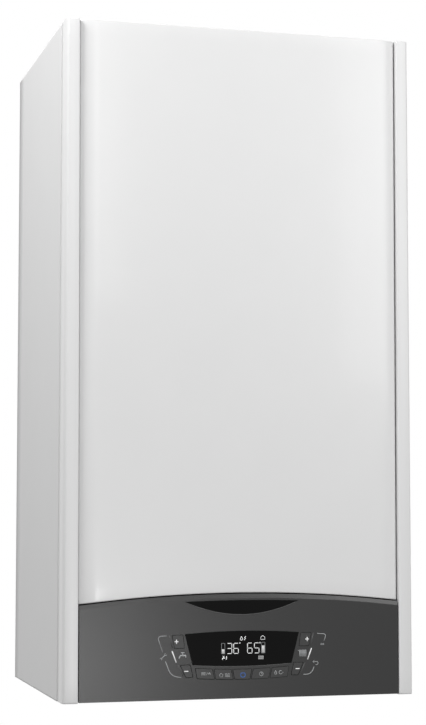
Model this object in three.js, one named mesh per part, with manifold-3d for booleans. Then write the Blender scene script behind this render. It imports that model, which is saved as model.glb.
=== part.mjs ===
// Wall-hung combi boiler: a painted sheet casing on a back frame, a pull-off front with two edge rails, a fold-down
// control panel with nine keys, and inside them the heat cell, the fan, the gas line and the water groups.
// Millimetres, +Z up. The wall is at y = 0 and the front looks towards -Y. The origin is the hanging point: the middle
// of the back frame's slotted top bar, on the wall. Most pieces are laid out above the casing's lower edge, and the
// whole casing then hangs below the origin.
import * as THREE from "three";
import { mergeVertices } from "three/addons/utils/BufferGeometryUtils.js";
import Module from "manifold-3d";

const wasm = await Module();
wasm.setup();

// ---------- clearances ----------
const seatGap = 0.3; // between two pieces that rest on each other
const runGap = 0.3; // radial, between a shaft and its hole
const holeGap = 0.8; // radial, between a pipe and its hole in the bottom plate
const shadowGap = 1.2; // the thin dark line between the pieces of the front
const seamGap = 2; // between the side panels and the front casing

// ---------- casing ----------
const casingWidth = 400;
const casingHeight = 745;
const casingDepth = 319;
const casingSheet = 1.2;
const frontReturn = 30; // depth of the front casing's sides
const sideFold = 12; // inward fold along a side panel's front edge
const topFold = 14; // downward fold along the top panel's front edge
const clipPinRadius = 3; // four pins on the front casing plug into the side panels' folds
const clipPinLength = 9;
const clipPinInset = 7.5; // from the casing's side
const clipPinHeights = [135, 705];
const plateSetback = 4; // bottom plate's front edge behind the side panels' front edge

// ---------- back frame ----------
const frameSheet = 1.5;
const frameFlange = 22;
const frameFoot = 16; // lower edge of the frame above the casing's lower edge
const hangHeight = 700; // hanging slots above the casing's lower edge
const hangSpacing = 240;
const hangSlotWidth = 34;
const hangSlotHeight = 12;
const armThickness = 4; // the two arms that carry the heat cell
const armReach = 200;
const armTip = 7; // height of an arm under the heat cell
const armDepth = 28; // height of an arm at the back frame
const armDrop = 47; // top of an arm at the back frame below the heat cell
const armNeck = 66; // how far the low part of an arm runs out
const armOffset = 60; // each arm from the heat cell's middle

// ---------- flue ----------
const flueExitWall = 28; // metal in front of the flue's exit from the heat cell
const airSocketRadius = 50.3; // takes a 100 mm air duct
const airSocketWall = 2.5;
const flueSocketRadius = 30.3; // takes a 60 mm flue duct
const flueSocketWall = 2.7;
const collarHeight = 25.4;
const collarFlangeRadius = 74;
const collarFlangeThickness = 3;
const flueGasketThickness = 2;
const spokeThickness = 3;
const spokeHeight = 6;
const ductFlangeRadius = 38;
const ductFlangeThickness = 3;
const secondInletRadius = 40; // the blanked inlet for a separate air duct
const inletCapLip = 6;
const inletCapThickness = 5;

// ---------- front casing ----------
const railHead = 15.4; // width of a rail at its upper end
const railFoot = 17.3; // width of a rail at its lower end
const railWall = 2.5;
const railRoll = 10; // how far the rail's outer edge is set back
const railCorner = 2.5;
const doorSetback = 1.5; // door face behind the rails' front edges
const doorRollWidth = 22;
const doorRollDrop = 4;
const doorRollSteps = 5;
const doorArchEnd = 105; // door's lower edge at the rails
const doorArchRise = 10.6; // extra height of the lower edge in the middle
const footInset = 12; // the folds under the rails stop this far from the door's ends

// ---------- control panel ----------
const fasciaSetback = 1.5;
const fasciaFoot = 0.8; // fascia's lower edge above the casing's lower edge
const fasciaWall = 2.5;
const fasciaBandHeight = 4.4; // slanted band along the fascia's arched top
const fasciaBandDepth = 1.1;
const fasciaReturn = 22;
const pivotBehindFace = 13.5; // hinge axis behind the fascia's face
const pivotHeight = 13;
const pinRadius = 3;
const earThickness = 3;
const earRadius = 5;
const earInset = 6.5; // hinge ear's outer face inside the fascia's edge
const earOverlap = 14; // how far the ear runs back over the bottom plate
const earUpstand = 4;
const foldClearance = 3.5; // fascia's lower fold ends this far before the ear
const lensTop = 71.2;
const lensTopHalf = 64.8;
const lensTopBow = 2.6;
const lensBottom = 38.3;
const lensBottomHalf = 56.2;
const lensBottomBow = 2.1;
const lensThickness = 3;
const faceProud = 0.3; // lens, badge plate and keys in front of the fascia's face
const badgeHalf = 64.5;
const badgeTop = 106.2;
const badgeTopBow = 1.2;
const badgeDepth = 13.9; // badge plate's lower arc below its tips
const badgeThickness = 1.2;
const keyGap = 0.4;
const keyWeb = 1;
const keyThickness = 4.5;
const keyTravel = 1;
const keyCorner = 1.2;
const keyStemRadius = 1.5;
const plusCell = [
  [65, 56.2],
  [76.6, 55.9],
  [79.8, 70.7],
  [66.8, 71],
];
const minusCell = [
  [55.5, 24.6],
  [64.2, 24.3],
  [70.6, 38.4],
  [58.7, 38.7],
];
const rowTop = 33.1; // upper edge of the lower key row in the middle
const rowTopRise = 2.2;
const rowTopHalf = 54.4;
const rowBottom = 20.6;
const rowBottomRise = 1.9;
const rowBottomHalf = 51.9;
const powerTopHalf = 12.1;
const powerBottomHalf = 9.2;
const lcdWidth = 70;
const lcdHeight = 26;
const lcdThickness = 6.8;
const lcdCentre = 55;
const boardWidth = 236;
const boardThickness = 1.6;
const boxWall = 2;
const boxFoot = 16;
const boxHeight = 68;
const boxDepth = 58.7;
const harnessSlotInset = 20; // slot in the box's upper wall where the harness comes in, from the box's left side
const harnessSlotWidth = 60;
const harnessSlotLip = 6; // what is left of the upper wall behind the slot
const transformerSize = 30;
const relaySize = 14;
const capacitorRadius = 8;

// ---------- expansion vessel ----------
const vesselWidth = 300;
const vesselHeight = 330;
const vesselDepth = 56;
const vesselCorner = 70;
const vesselDome = 14;
const vesselWall = 1.6;
const vesselRim = 3;
const vesselRimThickness = 4;
const vesselCentre = 500;
const vesselPortX = 125;
const vesselPortRadius = 8;
const vesselPortBore = 4;
const vesselPortDrop = 12;
const vesselAirGap = 8.2; // between the vessel and the heat cell

// ---------- heat cell ----------
const cellX = 20;
const cellCentre = 490;
const shellSize = 230;
const shellCorner = 50;
const shellFloor = 16;
const shellCavityRadius = 96;
const shellRibRise = 3;
const shellRibWidth = 8;
const shellRibCount = 4;
const flueExitRadius = 28;
const coilRadius = 76;
const coilTubeRadius = 8;
const coilGap = 2; // between turns
const coilFrontRoom = 8; // coil's first turn behind the shell's front
const coilBackRoom = 10; // behind its last turn
const coilSteps = 12;
const coilSides = 6;
const coilRailWidth = 8;
const doorPlateRadius = 104;
const doorPlateThickness = 10;
const channelWidth = 36;
const channelDepth = 36;
const channelCorner = 12;
const burnerRadius = 35;
const burnerWall = 2;
const burnerRoom = 18; // behind the burner's end
const electrodeRadius = 5;
const electrodeX = 42;
const electrodeDrop = 32;
const electrodeTipRadius = 1.2;
const electrodeFront = 22; // body in front of the burner door
const electrodeBody = 12;
const electrodeTip = 44;

// ---------- fan and air path ----------
const fanX = -130;
const fanDepth = 40;
const fanWall = 3;
const voluteLarge = 64;
const voluteSmall = 52;
const voluteTongue = 40; // degrees above the level line
const fanOutletHeight = 36;
const fanOutletReach = 58;
const fanBack = 11; // fan housing's back face in front of the shell's front face
const fanInletRadius = 22;
const impellerRadius = 46;
const impellerBladeHeight = 26;
const impellerDisc = 2;
const impellerHub = 9;
const impellerBlades = 12;
const impellerInner = 26;
const bladeThickness = 1.6;
const shaftRadius = 3;
const shaftReach = 26;
const fanMotorRadius = 34;
const fanMotorLength = 28;
const motorRoom = 31; // between the fan's motor and the front door
const mixerRadius = 28;
const mixerLength = 66;
const mixerBore = 22;
const mixerFloor = 8;
const mixerTurnBack = 52; // upward branch behind the mixer's mouth
const mixerBranch = 46;
const gasBossRadius = 12;
const gasBossDrop = 40;
const silencerRadius = 30;
const silencerBore = 25;
const silencerHeight = 114;

// ---------- gas line ----------
const gasValveCentre = 430;
const gasValveWidth = 56;
const gasValveDepth = 64;
const gasValveHeight = 76;
const solenoidRadius = 13;
const solenoidReach = 24;
const solenoidOffset = 18;
const nutRadius = 15;
const nutHeight = 6;
const gasPipeRadius = 9;
const gasRunHeight = 215; // level run of the gas pipe

// ---------- connections under the boiler ----------
const connectionDepth = 120; // pipe axes from the wall
const connectionPitch = 60;
const connectionDrop = 10; // pipe ends below the casing's lower edge
const largeThreadRadius = 13.2;
const largeBoreRadius = 9;
const smallThreadRadius = 10.5;
const smallBoreRadius = 7;
const boreDepth = 20;
const drainX = 30;
const drainDepth = 165;
const drainRadius = 10.5;
const drainBore = 8;
const drainDrop = 8;

// ---------- water groups ----------
const groupFoot = 24; // lower face of the water groups
const groupHeight = 56;
const groupFront = 30; // group's front face in front of the pipe axes
const groupBack = 25;
const flowGroupLeft = -147;
const groupInside = 40; // inner face of each group from the middle
const returnGroupRight = 147;
const diverterX = -125;
const diverterRadius = 18;
const diverterHeight = 38;
const stemRadius = 3;
const stemLength = 30;
const stemTravel = 6;
const actuatorSize = 44;
const actuatorHeight = 56;
const actuatorLift = 10; // open stretch of stem between the valve and the actuator
const actuatorPost = 4;
const flowPortX = -75;
const waterPipeRadius = 11;
const portRadius = 15;
const portHeight = 20;
const pipeTurnHeight = 300;
const flowInletX = -20; // where the flow pipe meets the heat cell
const returnOutletX = 60;
const cellPortDepth = 112;
const cellPortDrop = 4; // bosses under the heat cell that the pipes and the trap meet
const pumpX = 112;
const pumpCentre = 152;
const pumpRadius = 44;
const pumpLength = 56;
const pumpCavityRadius = 36;
const pumpCavityDepth = 32;
const pumpInletRadius = 15;
const pumpOutletRise = 62;
const pumpImpellerRadius = 31;
const pumpImpellerLength = 18;
const pumpImpellerHub = 9;
const pumpBlades = 6;
const pumpMotorRadius = 38;
const pumpMotorLength = 74;
const pumpShaftRadius = 4;
const pumpShaftReach = 24;
const pumpBoxWidth = 50;
const pumpBoxHeight = 30;
const ventRadius = 9;
const ventHeight = 44;
const ventOffset = 26;
const exchangerLength = 176;
const exchangerHeight = 66;
const exchangerDepth = 50;
const exchangerPlates = 10;
const exchangerFoot = 34;
const plateGroove = 2.4;
const vesselPipeRadius = 5;
const vesselPipeHeight = 60;

// ---------- condensate trap ----------
const trapX = 25;
const trapDepth = 150;
const trapRadius = 24;
const trapFoot = 240;
const trapBody = 96;
const trapNeck = 11;

// ---------- fittings ----------
const safetyX = -100;
const safetyHeight = 52;
const safetyRadius = 13;
const safetyLength = 34;
const safetyOutletRadius = 8;
const safetyOutletDrop = 24;
const safetyKnobRadius = 15;
const safetyKnobLength = 18;
const fillX = 89;
const fillDepth = 139;
const fillKnobRadius = 13;
const fillKnobHeight = 12;
const fillKnobDrop = 12; // knob's lower face below the casing's lower edge
const fillSpindleRadius = 4;
const gaugeX = -25;
const gaugeRoom = 51; // gauge's axis behind the control box
const gaugeRadius = 20;
const gaugeDrop = 4;
const gaugeLength = 30;
const gaugeFlange = 24;
const gaugeFlangeThickness = 3;
const gaugeRim = 1.5;
const gaugeRecess = 3.4;
const gaugeLensThickness = 1;
const needleLength = 15;
const needleWidth = 1.6;
const needleThickness = 1.2;
const needleHub = 3;
const capillaryRadius = 2.5;
const capillaryHeight = 45;
const glandX = -165;
const glandDepth = 60;
const glandRadius = 9;
const glandNut = 12;
const glandBore = 4;
const glandDome = 6;

// ---------- how finely round shapes are faceted ----------
const roundSides = 20;
const smallSides = 12;
const pipeSides = 10;
const bendSteps = 4;
const arcSegments = 10;

// ---------- places worked out from the sizes above ----------
const halfWidth = casingWidth / 2;
const innerHalf = halfWidth - casingSheet - seatGap; // half of what fits between the side panels
const frontBack = -(casingDepth - frontReturn); // rear edge of the front casing
const chassisFront = frontBack + seamGap;
const plateFront = chassisFront + plateSetback;
const topUnder = casingHeight - casingSheet;
const frameTop = topUnder - seatGap;
const plateTop = frameFoot - seatGap;
const plateUnder = plateTop - casingSheet;
const gasketTop = casingHeight + seatGap + flueGasketThickness;
const collarFoot = gasketTop + seatGap;
const collarTop = collarFoot + collarHeight;
const doorFace = -(casingDepth - doorSetback);
const fasciaFace = -(casingDepth - fasciaSetback);
const proudFace = fasciaFace - faceProud;
const pivotY = fasciaFace + pivotBehindFace;
const lcdFront = proudFace + lensThickness + seatGap;
const boardFront = lcdFront + lcdThickness + seatGap;
const boxFront = fasciaFace + fasciaWall + seatGap;
const boxBack = boxFront + boxDepth;
const gaugeY = boxBack + gaugeRoom;
const vesselBack = -(frameSheet + seatGap);
const vesselFront = vesselBack - vesselDepth;
const vesselBottom = vesselCentre - vesselHeight / 2;
const vesselPortEnd = vesselBottom - vesselRim - vesselPortDrop;
const vesselPortY = vesselBack - vesselDepth / 2;
const shellBack = vesselFront - vesselAirGap;
const motorFace = doorFace + casingSheet + motorRoom;
const fanFront = motorFace + fanMotorLength + seatGap;
const fanRear = fanFront + fanDepth;
const shellFront = fanRear + fanBack;
const shellDepth = shellBack - shellFront;
const cavityDepth = shellDepth - shellFloor;
const coilPitch = 2 * coilTubeRadius + coilGap;
const coilRun = cavityDepth - coilFrontRoom - coilBackRoom - 2 * coilTubeRadius;
const coilTurns = Math.floor(coilRun / coilPitch + 0.01); // whole turns that fit
const coilFront = coilFrontRoom + coilTubeRadius;
const burnerLength = cavityDepth - burnerRoom;
const flueY = shellFront + flueExitRadius + flueExitWall;
const shellTop = cellCentre + shellSize / 2;
const shellBottom = cellCentre - shellSize / 2;
const doorPlateBack = shellFront - seatGap;
const doorPlateFront = doorPlateBack - doorPlateThickness;
const fanMiddle = (fanRear + fanFront) / 2;
const channelTop = shellTop + channelWidth / 2 - 5;
const fanZ = channelTop - voluteLarge;
const mixerMouth = fanRear + seatGap;
const mixerTurn = mixerMouth + mixerTurnBack;
const mixerTop = fanZ + mixerBranch;
const gasAxisY = mixerMouth + gasValveDepth / 2 - 6;
const gasValveTop = gasValveCentre + gasValveHeight / 2 + nutHeight;
const gasValveBottom = gasValveCentre - gasValveHeight / 2 - nutHeight;
const pipeY = -connectionDepth;
const pipeEnd = -connectionDrop;
const groupTop = groupFoot + groupHeight;
const groupFrontY = pipeY - groupFront;
const groupBackY = pipeY + groupBack;
const diverterTop = groupTop + diverterHeight;
const actuatorFoot = diverterTop + actuatorLift;
const portTop = groupTop + portHeight;
const pumpBack = groupBackY - 2;
const pumpFront = pumpBack - pumpLength;
const cellPortY = -cellPortDepth;
const cellPortFace = shellBottom - cellPortDrop;
const gaugeFace = -gaugeDrop;

// ---------- materials ----------
function finish(color, roughness, metalness) {
  return new THREE.MeshStandardMaterial({ color, roughness, metalness });
}
const whitePaint = finish(0xf0f1f1, 0.22, 0);
const sidePaint = finish(0xe2e4e4, 0.45, 0);
const railPlastic = finish(0xf2f3f4, 0.3, 0);
const anthracite = finish(0x46484c, 0.5, 0.1);
const blackGloss = finish(0x0b0b0d, 0.12, 0);
const galvanised = finish(0xa9adb0, 0.5, 0.9);
const darkPlastic = finish(0x2a2b2d, 0.6, 0);
const lightPlastic = finish(0xb9bdc0, 0.55, 0);
const boardGreen = finish(0x1f5b3a, 0.5, 0);
const vesselRed = finish(0xa8261f, 0.45, 0.1);
const castAluminium = finish(0xb4b7b9, 0.45, 0.9);
const stainless = finish(0xc3c6c8, 0.3, 1);
const copper = finish(0xb87350, 0.3, 1);
const brass = finish(0xb79a57, 0.35, 1);
const steelPipe = finish(0xd9c46a, 0.4, 0.8);
const rubber = finish(0x1b1b1c, 0.85, 0);
const ceramicWhite = finish(0xeeeae0, 0.4, 0);
const darkCast = finish(0x2c2f33, 0.5, 0.5);
const knobRed = finish(0xc0201c, 0.45, 0);
const knobBlack = finish(0x18191b, 0.5, 0);
const clearLens = finish(0xdfe6e8, 0.1, 0);

// ---------- building blocks ----------
// A closed geometry as a solid that can be cut and joined.
function solid(geometry) {
  const bare = geometry.clone();
  bare.deleteAttribute("normal");
  bare.deleteAttribute("uv");
  const merged = mergeVertices(bare, 1e-4);
  const vertProperties = merged.attributes.position.array;
  const triVerts = new Uint32Array(merged.index.array);
  return new wasm.Manifold(new wasm.Mesh({ numProp: 3, vertProperties, triVerts }));
}

// A named mesh made from a solid.
function piece(name, body, material) {
  const { vertProperties, triVerts } = body.getMesh();
  const geometry = new THREE.BufferGeometry();
  geometry.setAttribute("position", new THREE.BufferAttribute(vertProperties, 3));
  geometry.setIndex(new THREE.BufferAttribute(triVerts, 1));
  geometry.computeVertexNormals();
  const mesh = new THREE.Mesh(geometry, material);
  mesh.name = name;
  return mesh;
}

function placed(mesh, x, y, z) {
  mesh.position.set(x, y, z);
  return mesh;
}

// The same piece on the other side of the middle plane.
function mirrored(mesh, name) {
  const copy = mesh.clone();
  copy.name = name;
  copy.scale.x = -1;
  copy.position.x = -mesh.position.x;
  return copy;
}

function union(...bodies) {
  return bodies.reduce((all, next) => all.add(next));
}

function block([x0, x1], [y0, y1], [z0, z1]) {
  const geometry = new THREE.BoxGeometry(x1 - x0, y1 - y0, z1 - z0);
  geometry.translate((x0 + x1) / 2, (y0 + y1) / 2, (z0 + z1) / 2);
  return solid(geometry);
}

// A profile of [radius, height] points, drawn anticlockwise, turned round the Y axis.
function turnedY(profile, sides = roundSides) {
  const points = profile.map(([radius, height]) => new THREE.Vector2(radius, height));
  return solid(new THREE.LatheGeometry(points, sides));
}

function turnedZ(profile, sides = roundSides) {
  const points = profile.map(([radius, height]) => new THREE.Vector2(radius, height));
  return solid(new THREE.LatheGeometry(points, sides).rotateX(Math.PI / 2));
}

function turnedX(profile, sides = roundSides) {
  const points = profile.map(([radius, height]) => new THREE.Vector2(radius, height));
  return solid(new THREE.LatheGeometry(points, sides).rotateZ(-Math.PI / 2));
}

// Profile of a plain rod, or of a ring where it has a bore.
function rod(radius, from, to, bore = 0) {
  const profile = [
    [bore, from],
    [radius, from],
    [radius, to],
    [bore, to],
  ];
  return bore > 0 ? [...profile, [bore, from]] : profile;
}

// An outline through the given corners, each rounded by the same radius.
function outline(corners, radius = 0) {
  const shape = new THREE.Shape();
  corners.forEach((corner, i) => {
    const at = new THREE.Vector2(...corner);
    const before = new THREE.Vector2(...corners[(i + corners.length - 1) % corners.length]);
    const after = new THREE.Vector2(...corners[(i + 1) % corners.length]);
    const enter = at.clone().lerp(before, radius / at.distanceTo(before));
    const leave = at.clone().lerp(after, radius / at.distanceTo(after));
    if (i === 0) shape.moveTo(enter.x, enter.y);
    else shape.lineTo(enter.x, enter.y);
    if (radius > 0) shape.quadraticCurveTo(at.x, at.y, leave.x, leave.y);
  });
  shape.closePath();
  return shape;
}

function rectangle(x0, x1, z0, z1, radius = 0) {
  return outline(
    [
      [x0, z0],
      [x1, z0],
      [x1, z1],
      [x0, z1],
    ],
    radius,
  );
}

// A convex anticlockwise outline with every side moved inwards.
function shrunk(corners, inset) {
  return corners.map(([x, y], i) => {
    const [ax, ay] = corners[(i + corners.length - 1) % corners.length];
    const [bx, by] = corners[(i + 1) % corners.length];
    const inLength = Math.hypot(x - ax, y - ay);
    const outLength = Math.hypot(bx - x, by - y);
    const first = [-(y - ay) / inLength, (x - ax) / inLength];
    const second = [-(by - y) / outLength, (bx - x) / outLength];
    const scale = inset / (1 + first[0] * second[0] + first[1] * second[1]);
    return [x + scale * (first[0] + second[0]), y + scale * (first[1] + second[1])];
  });
}

// An outline seen from the front (x, z), from the plane y = back towards the front.
function frontPrism(shape, back, depth, curveSegments = arcSegments) {
  const geometry = new THREE.ExtrudeGeometry(shape, { depth, bevelEnabled: false, curveSegments });
  return solid(geometry.rotateX(Math.PI / 2).translate(0, back, 0));
}

// An outline seen from above (x, y), from the level z = foot upwards.
function planPrism(shape, foot, height, curveSegments = arcSegments) {
  const geometry = new THREE.ExtrudeGeometry(shape, { depth: height, bevelEnabled: false, curveSegments });
  return solid(geometry.translate(0, 0, foot));
}

// An outline seen from the side (y, z), from the plane x = left to the right.
function sidePrism(shape, left, width, curveSegments = arcSegments) {
  const geometry = new THREE.ExtrudeGeometry(shape, { depth: width, bevelEnabled: false, curveSegments });
  return solid(geometry.rotateX(Math.PI / 2).rotateZ(Math.PI / 2).translate(left, 0, 0));
}

// A path of straight runs joined by round bends of one radius.
class BentPath extends THREE.Curve {
  constructor(corners, bendRadius) {
    super();
    this.stations = [];
    this.tangents = [];
    const points = corners.map((corner) => new THREE.Vector3(...corner));
    const directions = points.slice(1).map((point, i) => point.clone().sub(points[i]).normalize());
    this.add(points[0], directions[0]);
    for (let i = 1; i < points.length - 1; i += 1) this.addBend(points[i], directions[i - 1], directions[i], bendRadius);
    this.add(points[points.length - 1], directions[directions.length - 1]);
  }

  add(point, tangent) {
    this.stations.push(point.clone());
    this.tangents.push(tangent.clone());
  }

  addBend(corner, inward, outward, radius) {
    const turn = inward.angleTo(outward);
    const start = corner.clone().addScaledVector(inward, -radius * Math.tan(turn / 2));
    const side = outward.clone().addScaledVector(inward, -inward.dot(outward)).normalize();
    const centre = start.clone().addScaledVector(side, radius);
    for (let step = 0; step <= bendSteps; step += 1) {
      const angle = (turn * step) / bendSteps;
      const point = centre.clone().addScaledVector(side, -radius * Math.cos(angle));
      point.addScaledVector(inward, radius * Math.sin(angle));
      const tangent = inward.clone().multiplyScalar(Math.cos(angle)).addScaledVector(side, Math.sin(angle));
      this.add(point, tangent);
    }
  }

  getPointAt(u) {
    return this.stations[Math.round(u * (this.stations.length - 1))].clone();
  }

  getTangentAt(u) {
    return this.tangents[Math.round(u * (this.tangents.length - 1))].clone();
  }
}

function circle(radius, sides) {
  const points = [];
  for (let i = 0; i < sides; i += 1) {
    const angle = (2 * Math.PI * i) / sides;
    points.push(new THREE.Vector2(radius * Math.cos(angle), radius * Math.sin(angle)));
  }
  return new THREE.Shape(points);
}

function pipe(corners, radius, bendRadius, sides = pipeSides) {
  const path = new BentPath(corners, bendRadius);
  const steps = path.stations.length - 1;
  return solid(new THREE.ExtrudeGeometry(circle(radius, sides), { steps, bevelEnabled: false, extrudePath: path }));
}

// Width of a rail, and half the width of what lies between the rails, at a height.
function railWidth(z) {
  return railFoot + ((railHead - railFoot) * z) / casingHeight;
}

function frontHalf(z) {
  return halfWidth - railWidth(z) - shadowGap;
}

// ---------- chassis ----------
function heatCellArm(x) {
  const tipTop = shellBottom - seatGap;
  const rootTop = tipTop - armDrop;
  const shape = outline([
    [0, rootTop - armDepth],
    [-armNeck + armDepth / 2, rootTop - armDepth],
    [-armReach, tipTop - armTip],
    [-armReach, tipTop],
    [-armNeck - armDepth / 2, tipTop],
    [-armNeck, rootTop],
    [0, rootTop],
  ]);
  return sidePrism(shape, x - armThickness / 2, armThickness);
}

function backFrame() {
  const height = [frameFoot, frameTop];
  const depth = [-frameFlange, 0];
  const walls = union(
    block([-innerHalf, innerHalf], [-frameSheet, 0], height),
    block([-innerHalf, -innerHalf + frameSheet], depth, height),
    block([innerHalf - frameSheet, innerHalf], depth, height),
    block([-innerHalf, innerHalf], depth, [frameTop - frameSheet, frameTop]),
    block([-innerHalf, innerHalf], depth, [frameFoot, frameFoot + frameSheet]),
    heatCellArm(cellX - armOffset),
    heatCellArm(cellX + armOffset),
  );
  const slot = [hangHeight - hangSlotHeight / 2, hangHeight + hangSlotHeight / 2];
  const slots = [-1, 1].map((side) => {
    const middle = (side * hangSpacing) / 2;
    return block([middle - hangSlotWidth / 2, middle + hangSlotWidth / 2], [-2 * frameSheet, 1], slot);
  });
  return piece("back_frame", walls.subtract(union(...slots)), galvanised);
}

// A round bar along Y at the right-hand clip pins' place: the pin itself, or its hole.
function clipPin(radius, span) {
  return turnedY(rod(radius, ...span), smallSides).translate([halfWidth - clipPinInset, 0, 0]);
}

function rightSidePanel() {
  const panel = union(
    block([halfWidth - casingSheet, halfWidth], [chassisFront, 0], [0, casingHeight]),
    block(
      [halfWidth - sideFold, halfWidth],
      [chassisFront, chassisFront + casingSheet],
      [frameFoot, frameTop],
    ),
  );
  const span = [chassisFront - 1, chassisFront + casingSheet + 1];
  const holes = clipPinHeights.map((z) => clipPin(clipPinRadius + runGap, span).translate([0, 0, z]));
  return piece("right_side_panel", panel.subtract(union(...holes)), sidePaint);
}

function topPanel() {
  const foldHalf = halfWidth - sideFold - seatGap;
  const panel = union(
    block([-innerHalf, innerHalf], [chassisFront, 0], [topUnder, casingHeight]),
    block([-foldHalf, foldHalf], [chassisFront, chassisFront + casingSheet], [topUnder - topFold, casingHeight]),
  );
  const cut = [topUnder - 1, casingHeight + 1];
  const flueHole = turnedZ(rod(airSocketRadius, ...cut)).translate([0, flueY, 0]);
  const inletHole = turnedZ(rod(secondInletRadius, ...cut)).translate([fanX, mixerTurn, 0]);
  return piece("top_panel", panel.subtract(flueHole).subtract(inletHole), sidePaint);
}

// The ear and pin at one side that the control panel turns on.
function hingeEar(side) {
  const outer = frontHalf(pivotHeight) - earInset;
  const shape = outline(
    [
      [pivotY - earRadius, pivotHeight - earRadius],
      [plateFront + earOverlap, pivotHeight - earRadius],
      [plateFront + earOverlap, plateTop + earUpstand],
      [pivotY - earRadius, pivotHeight + earRadius],
    ],
    earRadius / 2,
  );
  const left = side > 0 ? outer - earThickness : -outer;
  const ear = sidePrism(shape, left, earThickness, 3);
  const pinEnd = frontHalf(pivotHeight) - shadowGap / 2;
  const pinSpan = side > 0 ? [left + earThickness / 2, pinEnd] : [-pinEnd, left + earThickness / 2];
  const pin = turnedX(rod(pinRadius, ...pinSpan), smallSides).translate([0, pivotY, pivotHeight]);
  return ear.add(pin);
}

function bottomPlate() {
  const plate = union(
    block([-innerHalf, innerHalf], [plateFront, 0], [plateUnder, plateTop]),
    hingeEar(-1),
    hingeEar(1),
  );
  const holes = [
    [-2 * connectionPitch, pipeY, largeThreadRadius + holeGap],
    [-connectionPitch, pipeY, smallThreadRadius + holeGap],
    [0, pipeY, largeThreadRadius + holeGap],
    [connectionPitch, pipeY, smallThreadRadius + holeGap],
    [2 * connectionPitch, pipeY, largeThreadRadius + holeGap],
    [drainX, -drainDepth, drainRadius + holeGap],
    [fillX, -fillDepth, fillSpindleRadius + runGap],
    [gaugeX, gaugeY, gaugeRadius + seatGap],
    [glandX, -glandDepth, glandRadius + seatGap],
  ].map(([x, y, radius]) => {
    return turnedZ(rod(radius, plateUnder - 1, plateTop + 1)).translate([x, y, 0]);
  });
  return piece("bottom_plate", plate.subtract(union(...holes)), galvanised);
}

function cableGland() {
  const nutFoot = plateUnder - seatGap - glandDome;
  const nut = turnedZ(rod(glandNut, nutFoot, plateUnder - seatGap), 6);
  const thread = turnedZ(rod(glandRadius, nutFoot, plateTop + glandDome), smallSides);
  const dome = turnedZ(
    [
      [0, nutFoot - glandDome],
      [glandRadius - 2, nutFoot - glandDome],
      [glandRadius, nutFoot],
      [0, nutFoot],
    ],
    smallSides,
  );
  const bore = turnedZ(rod(glandBore, nutFoot - 2 * glandDome, plateTop + 2 * glandDome), pipeSides);
  const gland = piece("cable_gland", union(nut, thread, dome).subtract(bore), darkPlastic);
  return placed(gland, glandX, -glandDepth, 0);
}

function casing() {
  const group = new THREE.Group();
  const right = rightSidePanel();
  group.add(backFrame(), right, mirrored(right, "left_side_panel"), topPanel(), bottomPlate(), cableGland());
  return group;
}

// ---------- flue ----------
function flueCollar() {
  const outer = airSocketRadius + airSocketWall;
  const ring = turnedZ([
    [airSocketRadius, 0],
    [collarFlangeRadius, 0],
    [collarFlangeRadius, collarFlangeThickness],
    [outer, collarFlangeThickness],
    [outer, collarHeight],
    [airSocketRadius, collarHeight],
    [airSocketRadius, 0],
  ]);
  const spokeFrom = flueSocketRadius + flueSocketWall + seatGap;
  const spokes = [60, 180, 300].map((angle) => {
    const spoke = block(
      [spokeFrom, airSocketRadius + airSocketWall / 2],
      [-spokeThickness / 2, spokeThickness / 2],
      [0, spokeHeight],
    );
    return spoke.rotate([0, 0, angle]);
  });
  return placed(piece("flue_collar", ring.add(union(...spokes)), lightPlastic), 0, flueY, collarFoot);
}

function flueGasket() {
  const foot = casingHeight + seatGap;
  return placed(piece("flue_gasket", turnedZ(rod(collarFlangeRadius, foot, gasketTop, airSocketRadius)), rubber), 0, flueY, 0);
}

function flueDuct() {
  const foot = shellTop + seatGap;
  const outer = flueSocketRadius + flueSocketWall;
  const duct = turnedZ([
    [flueSocketRadius, foot],
    [ductFlangeRadius, foot],
    [ductFlangeRadius, foot + ductFlangeThickness],
    [outer, foot + ductFlangeThickness],
    [outer, collarTop],
    [flueSocketRadius, collarTop],
    [flueSocketRadius, foot],
  ]);
  return placed(piece("flue_duct", duct, lightPlastic), 0, flueY, 0);
}

function airIntakeCap() {
  const foot = casingHeight + seatGap;
  const plugRadius = secondInletRadius - seatGap;
  const cap = turnedZ([
    [0, topUnder],
    [plugRadius, topUnder],
    [plugRadius, foot],
    [secondInletRadius + inletCapLip, foot],
    [secondInletRadius + inletCapLip, foot + inletCapThickness - 1],
    [secondInletRadius + inletCapLip - 1, foot + inletCapThickness],
    [0, foot + inletCapThickness],
  ]);
  return placed(piece("air_intake_cap", cap, darkPlastic), fanX, mixerTurn, 0);
}

function flue() {
  const group = new THREE.Group();
  group.add(flueCollar(), flueGasket(), flueDuct(), airIntakeCap());
  return group;
}

// ---------- front casing ----------
// The door seen from the front, with its arched lower edge, drawn in by the inset on every side.
function doorShape(inset) {
  const low = doorArchEnd + inset;
  const high = casingHeight - inset;
  const shape = new THREE.Shape();
  shape.moveTo(-frontHalf(low) + inset, low);
  shape.quadraticCurveTo(0, low + 2 * doorArchRise, frontHalf(low) - inset, low);
  shape.lineTo(frontHalf(high) - inset, high);
  shape.lineTo(-frontHalf(high) + inset, high);
  shape.closePath();
  return shape;
}

// The door seen from above: flat in the middle and rolled back along both edges.
function doorPlan(face) {
  const half = frontHalf(casingHeight);
  const edge = [];
  for (let step = 0; step <= doorRollSteps; step += 1) {
    const share = step / doorRollSteps;
    edge.push([half - doorRollWidth * (1 - share), face + doorRollDrop * share * share]);
  }
  const right = [...edge, [halfWidth, face + doorRollDrop], [halfWidth, 0]];
  const left = right.map(([x, y]) => [-x, y]).reverse();
  return outline([...left, ...right]);
}

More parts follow.
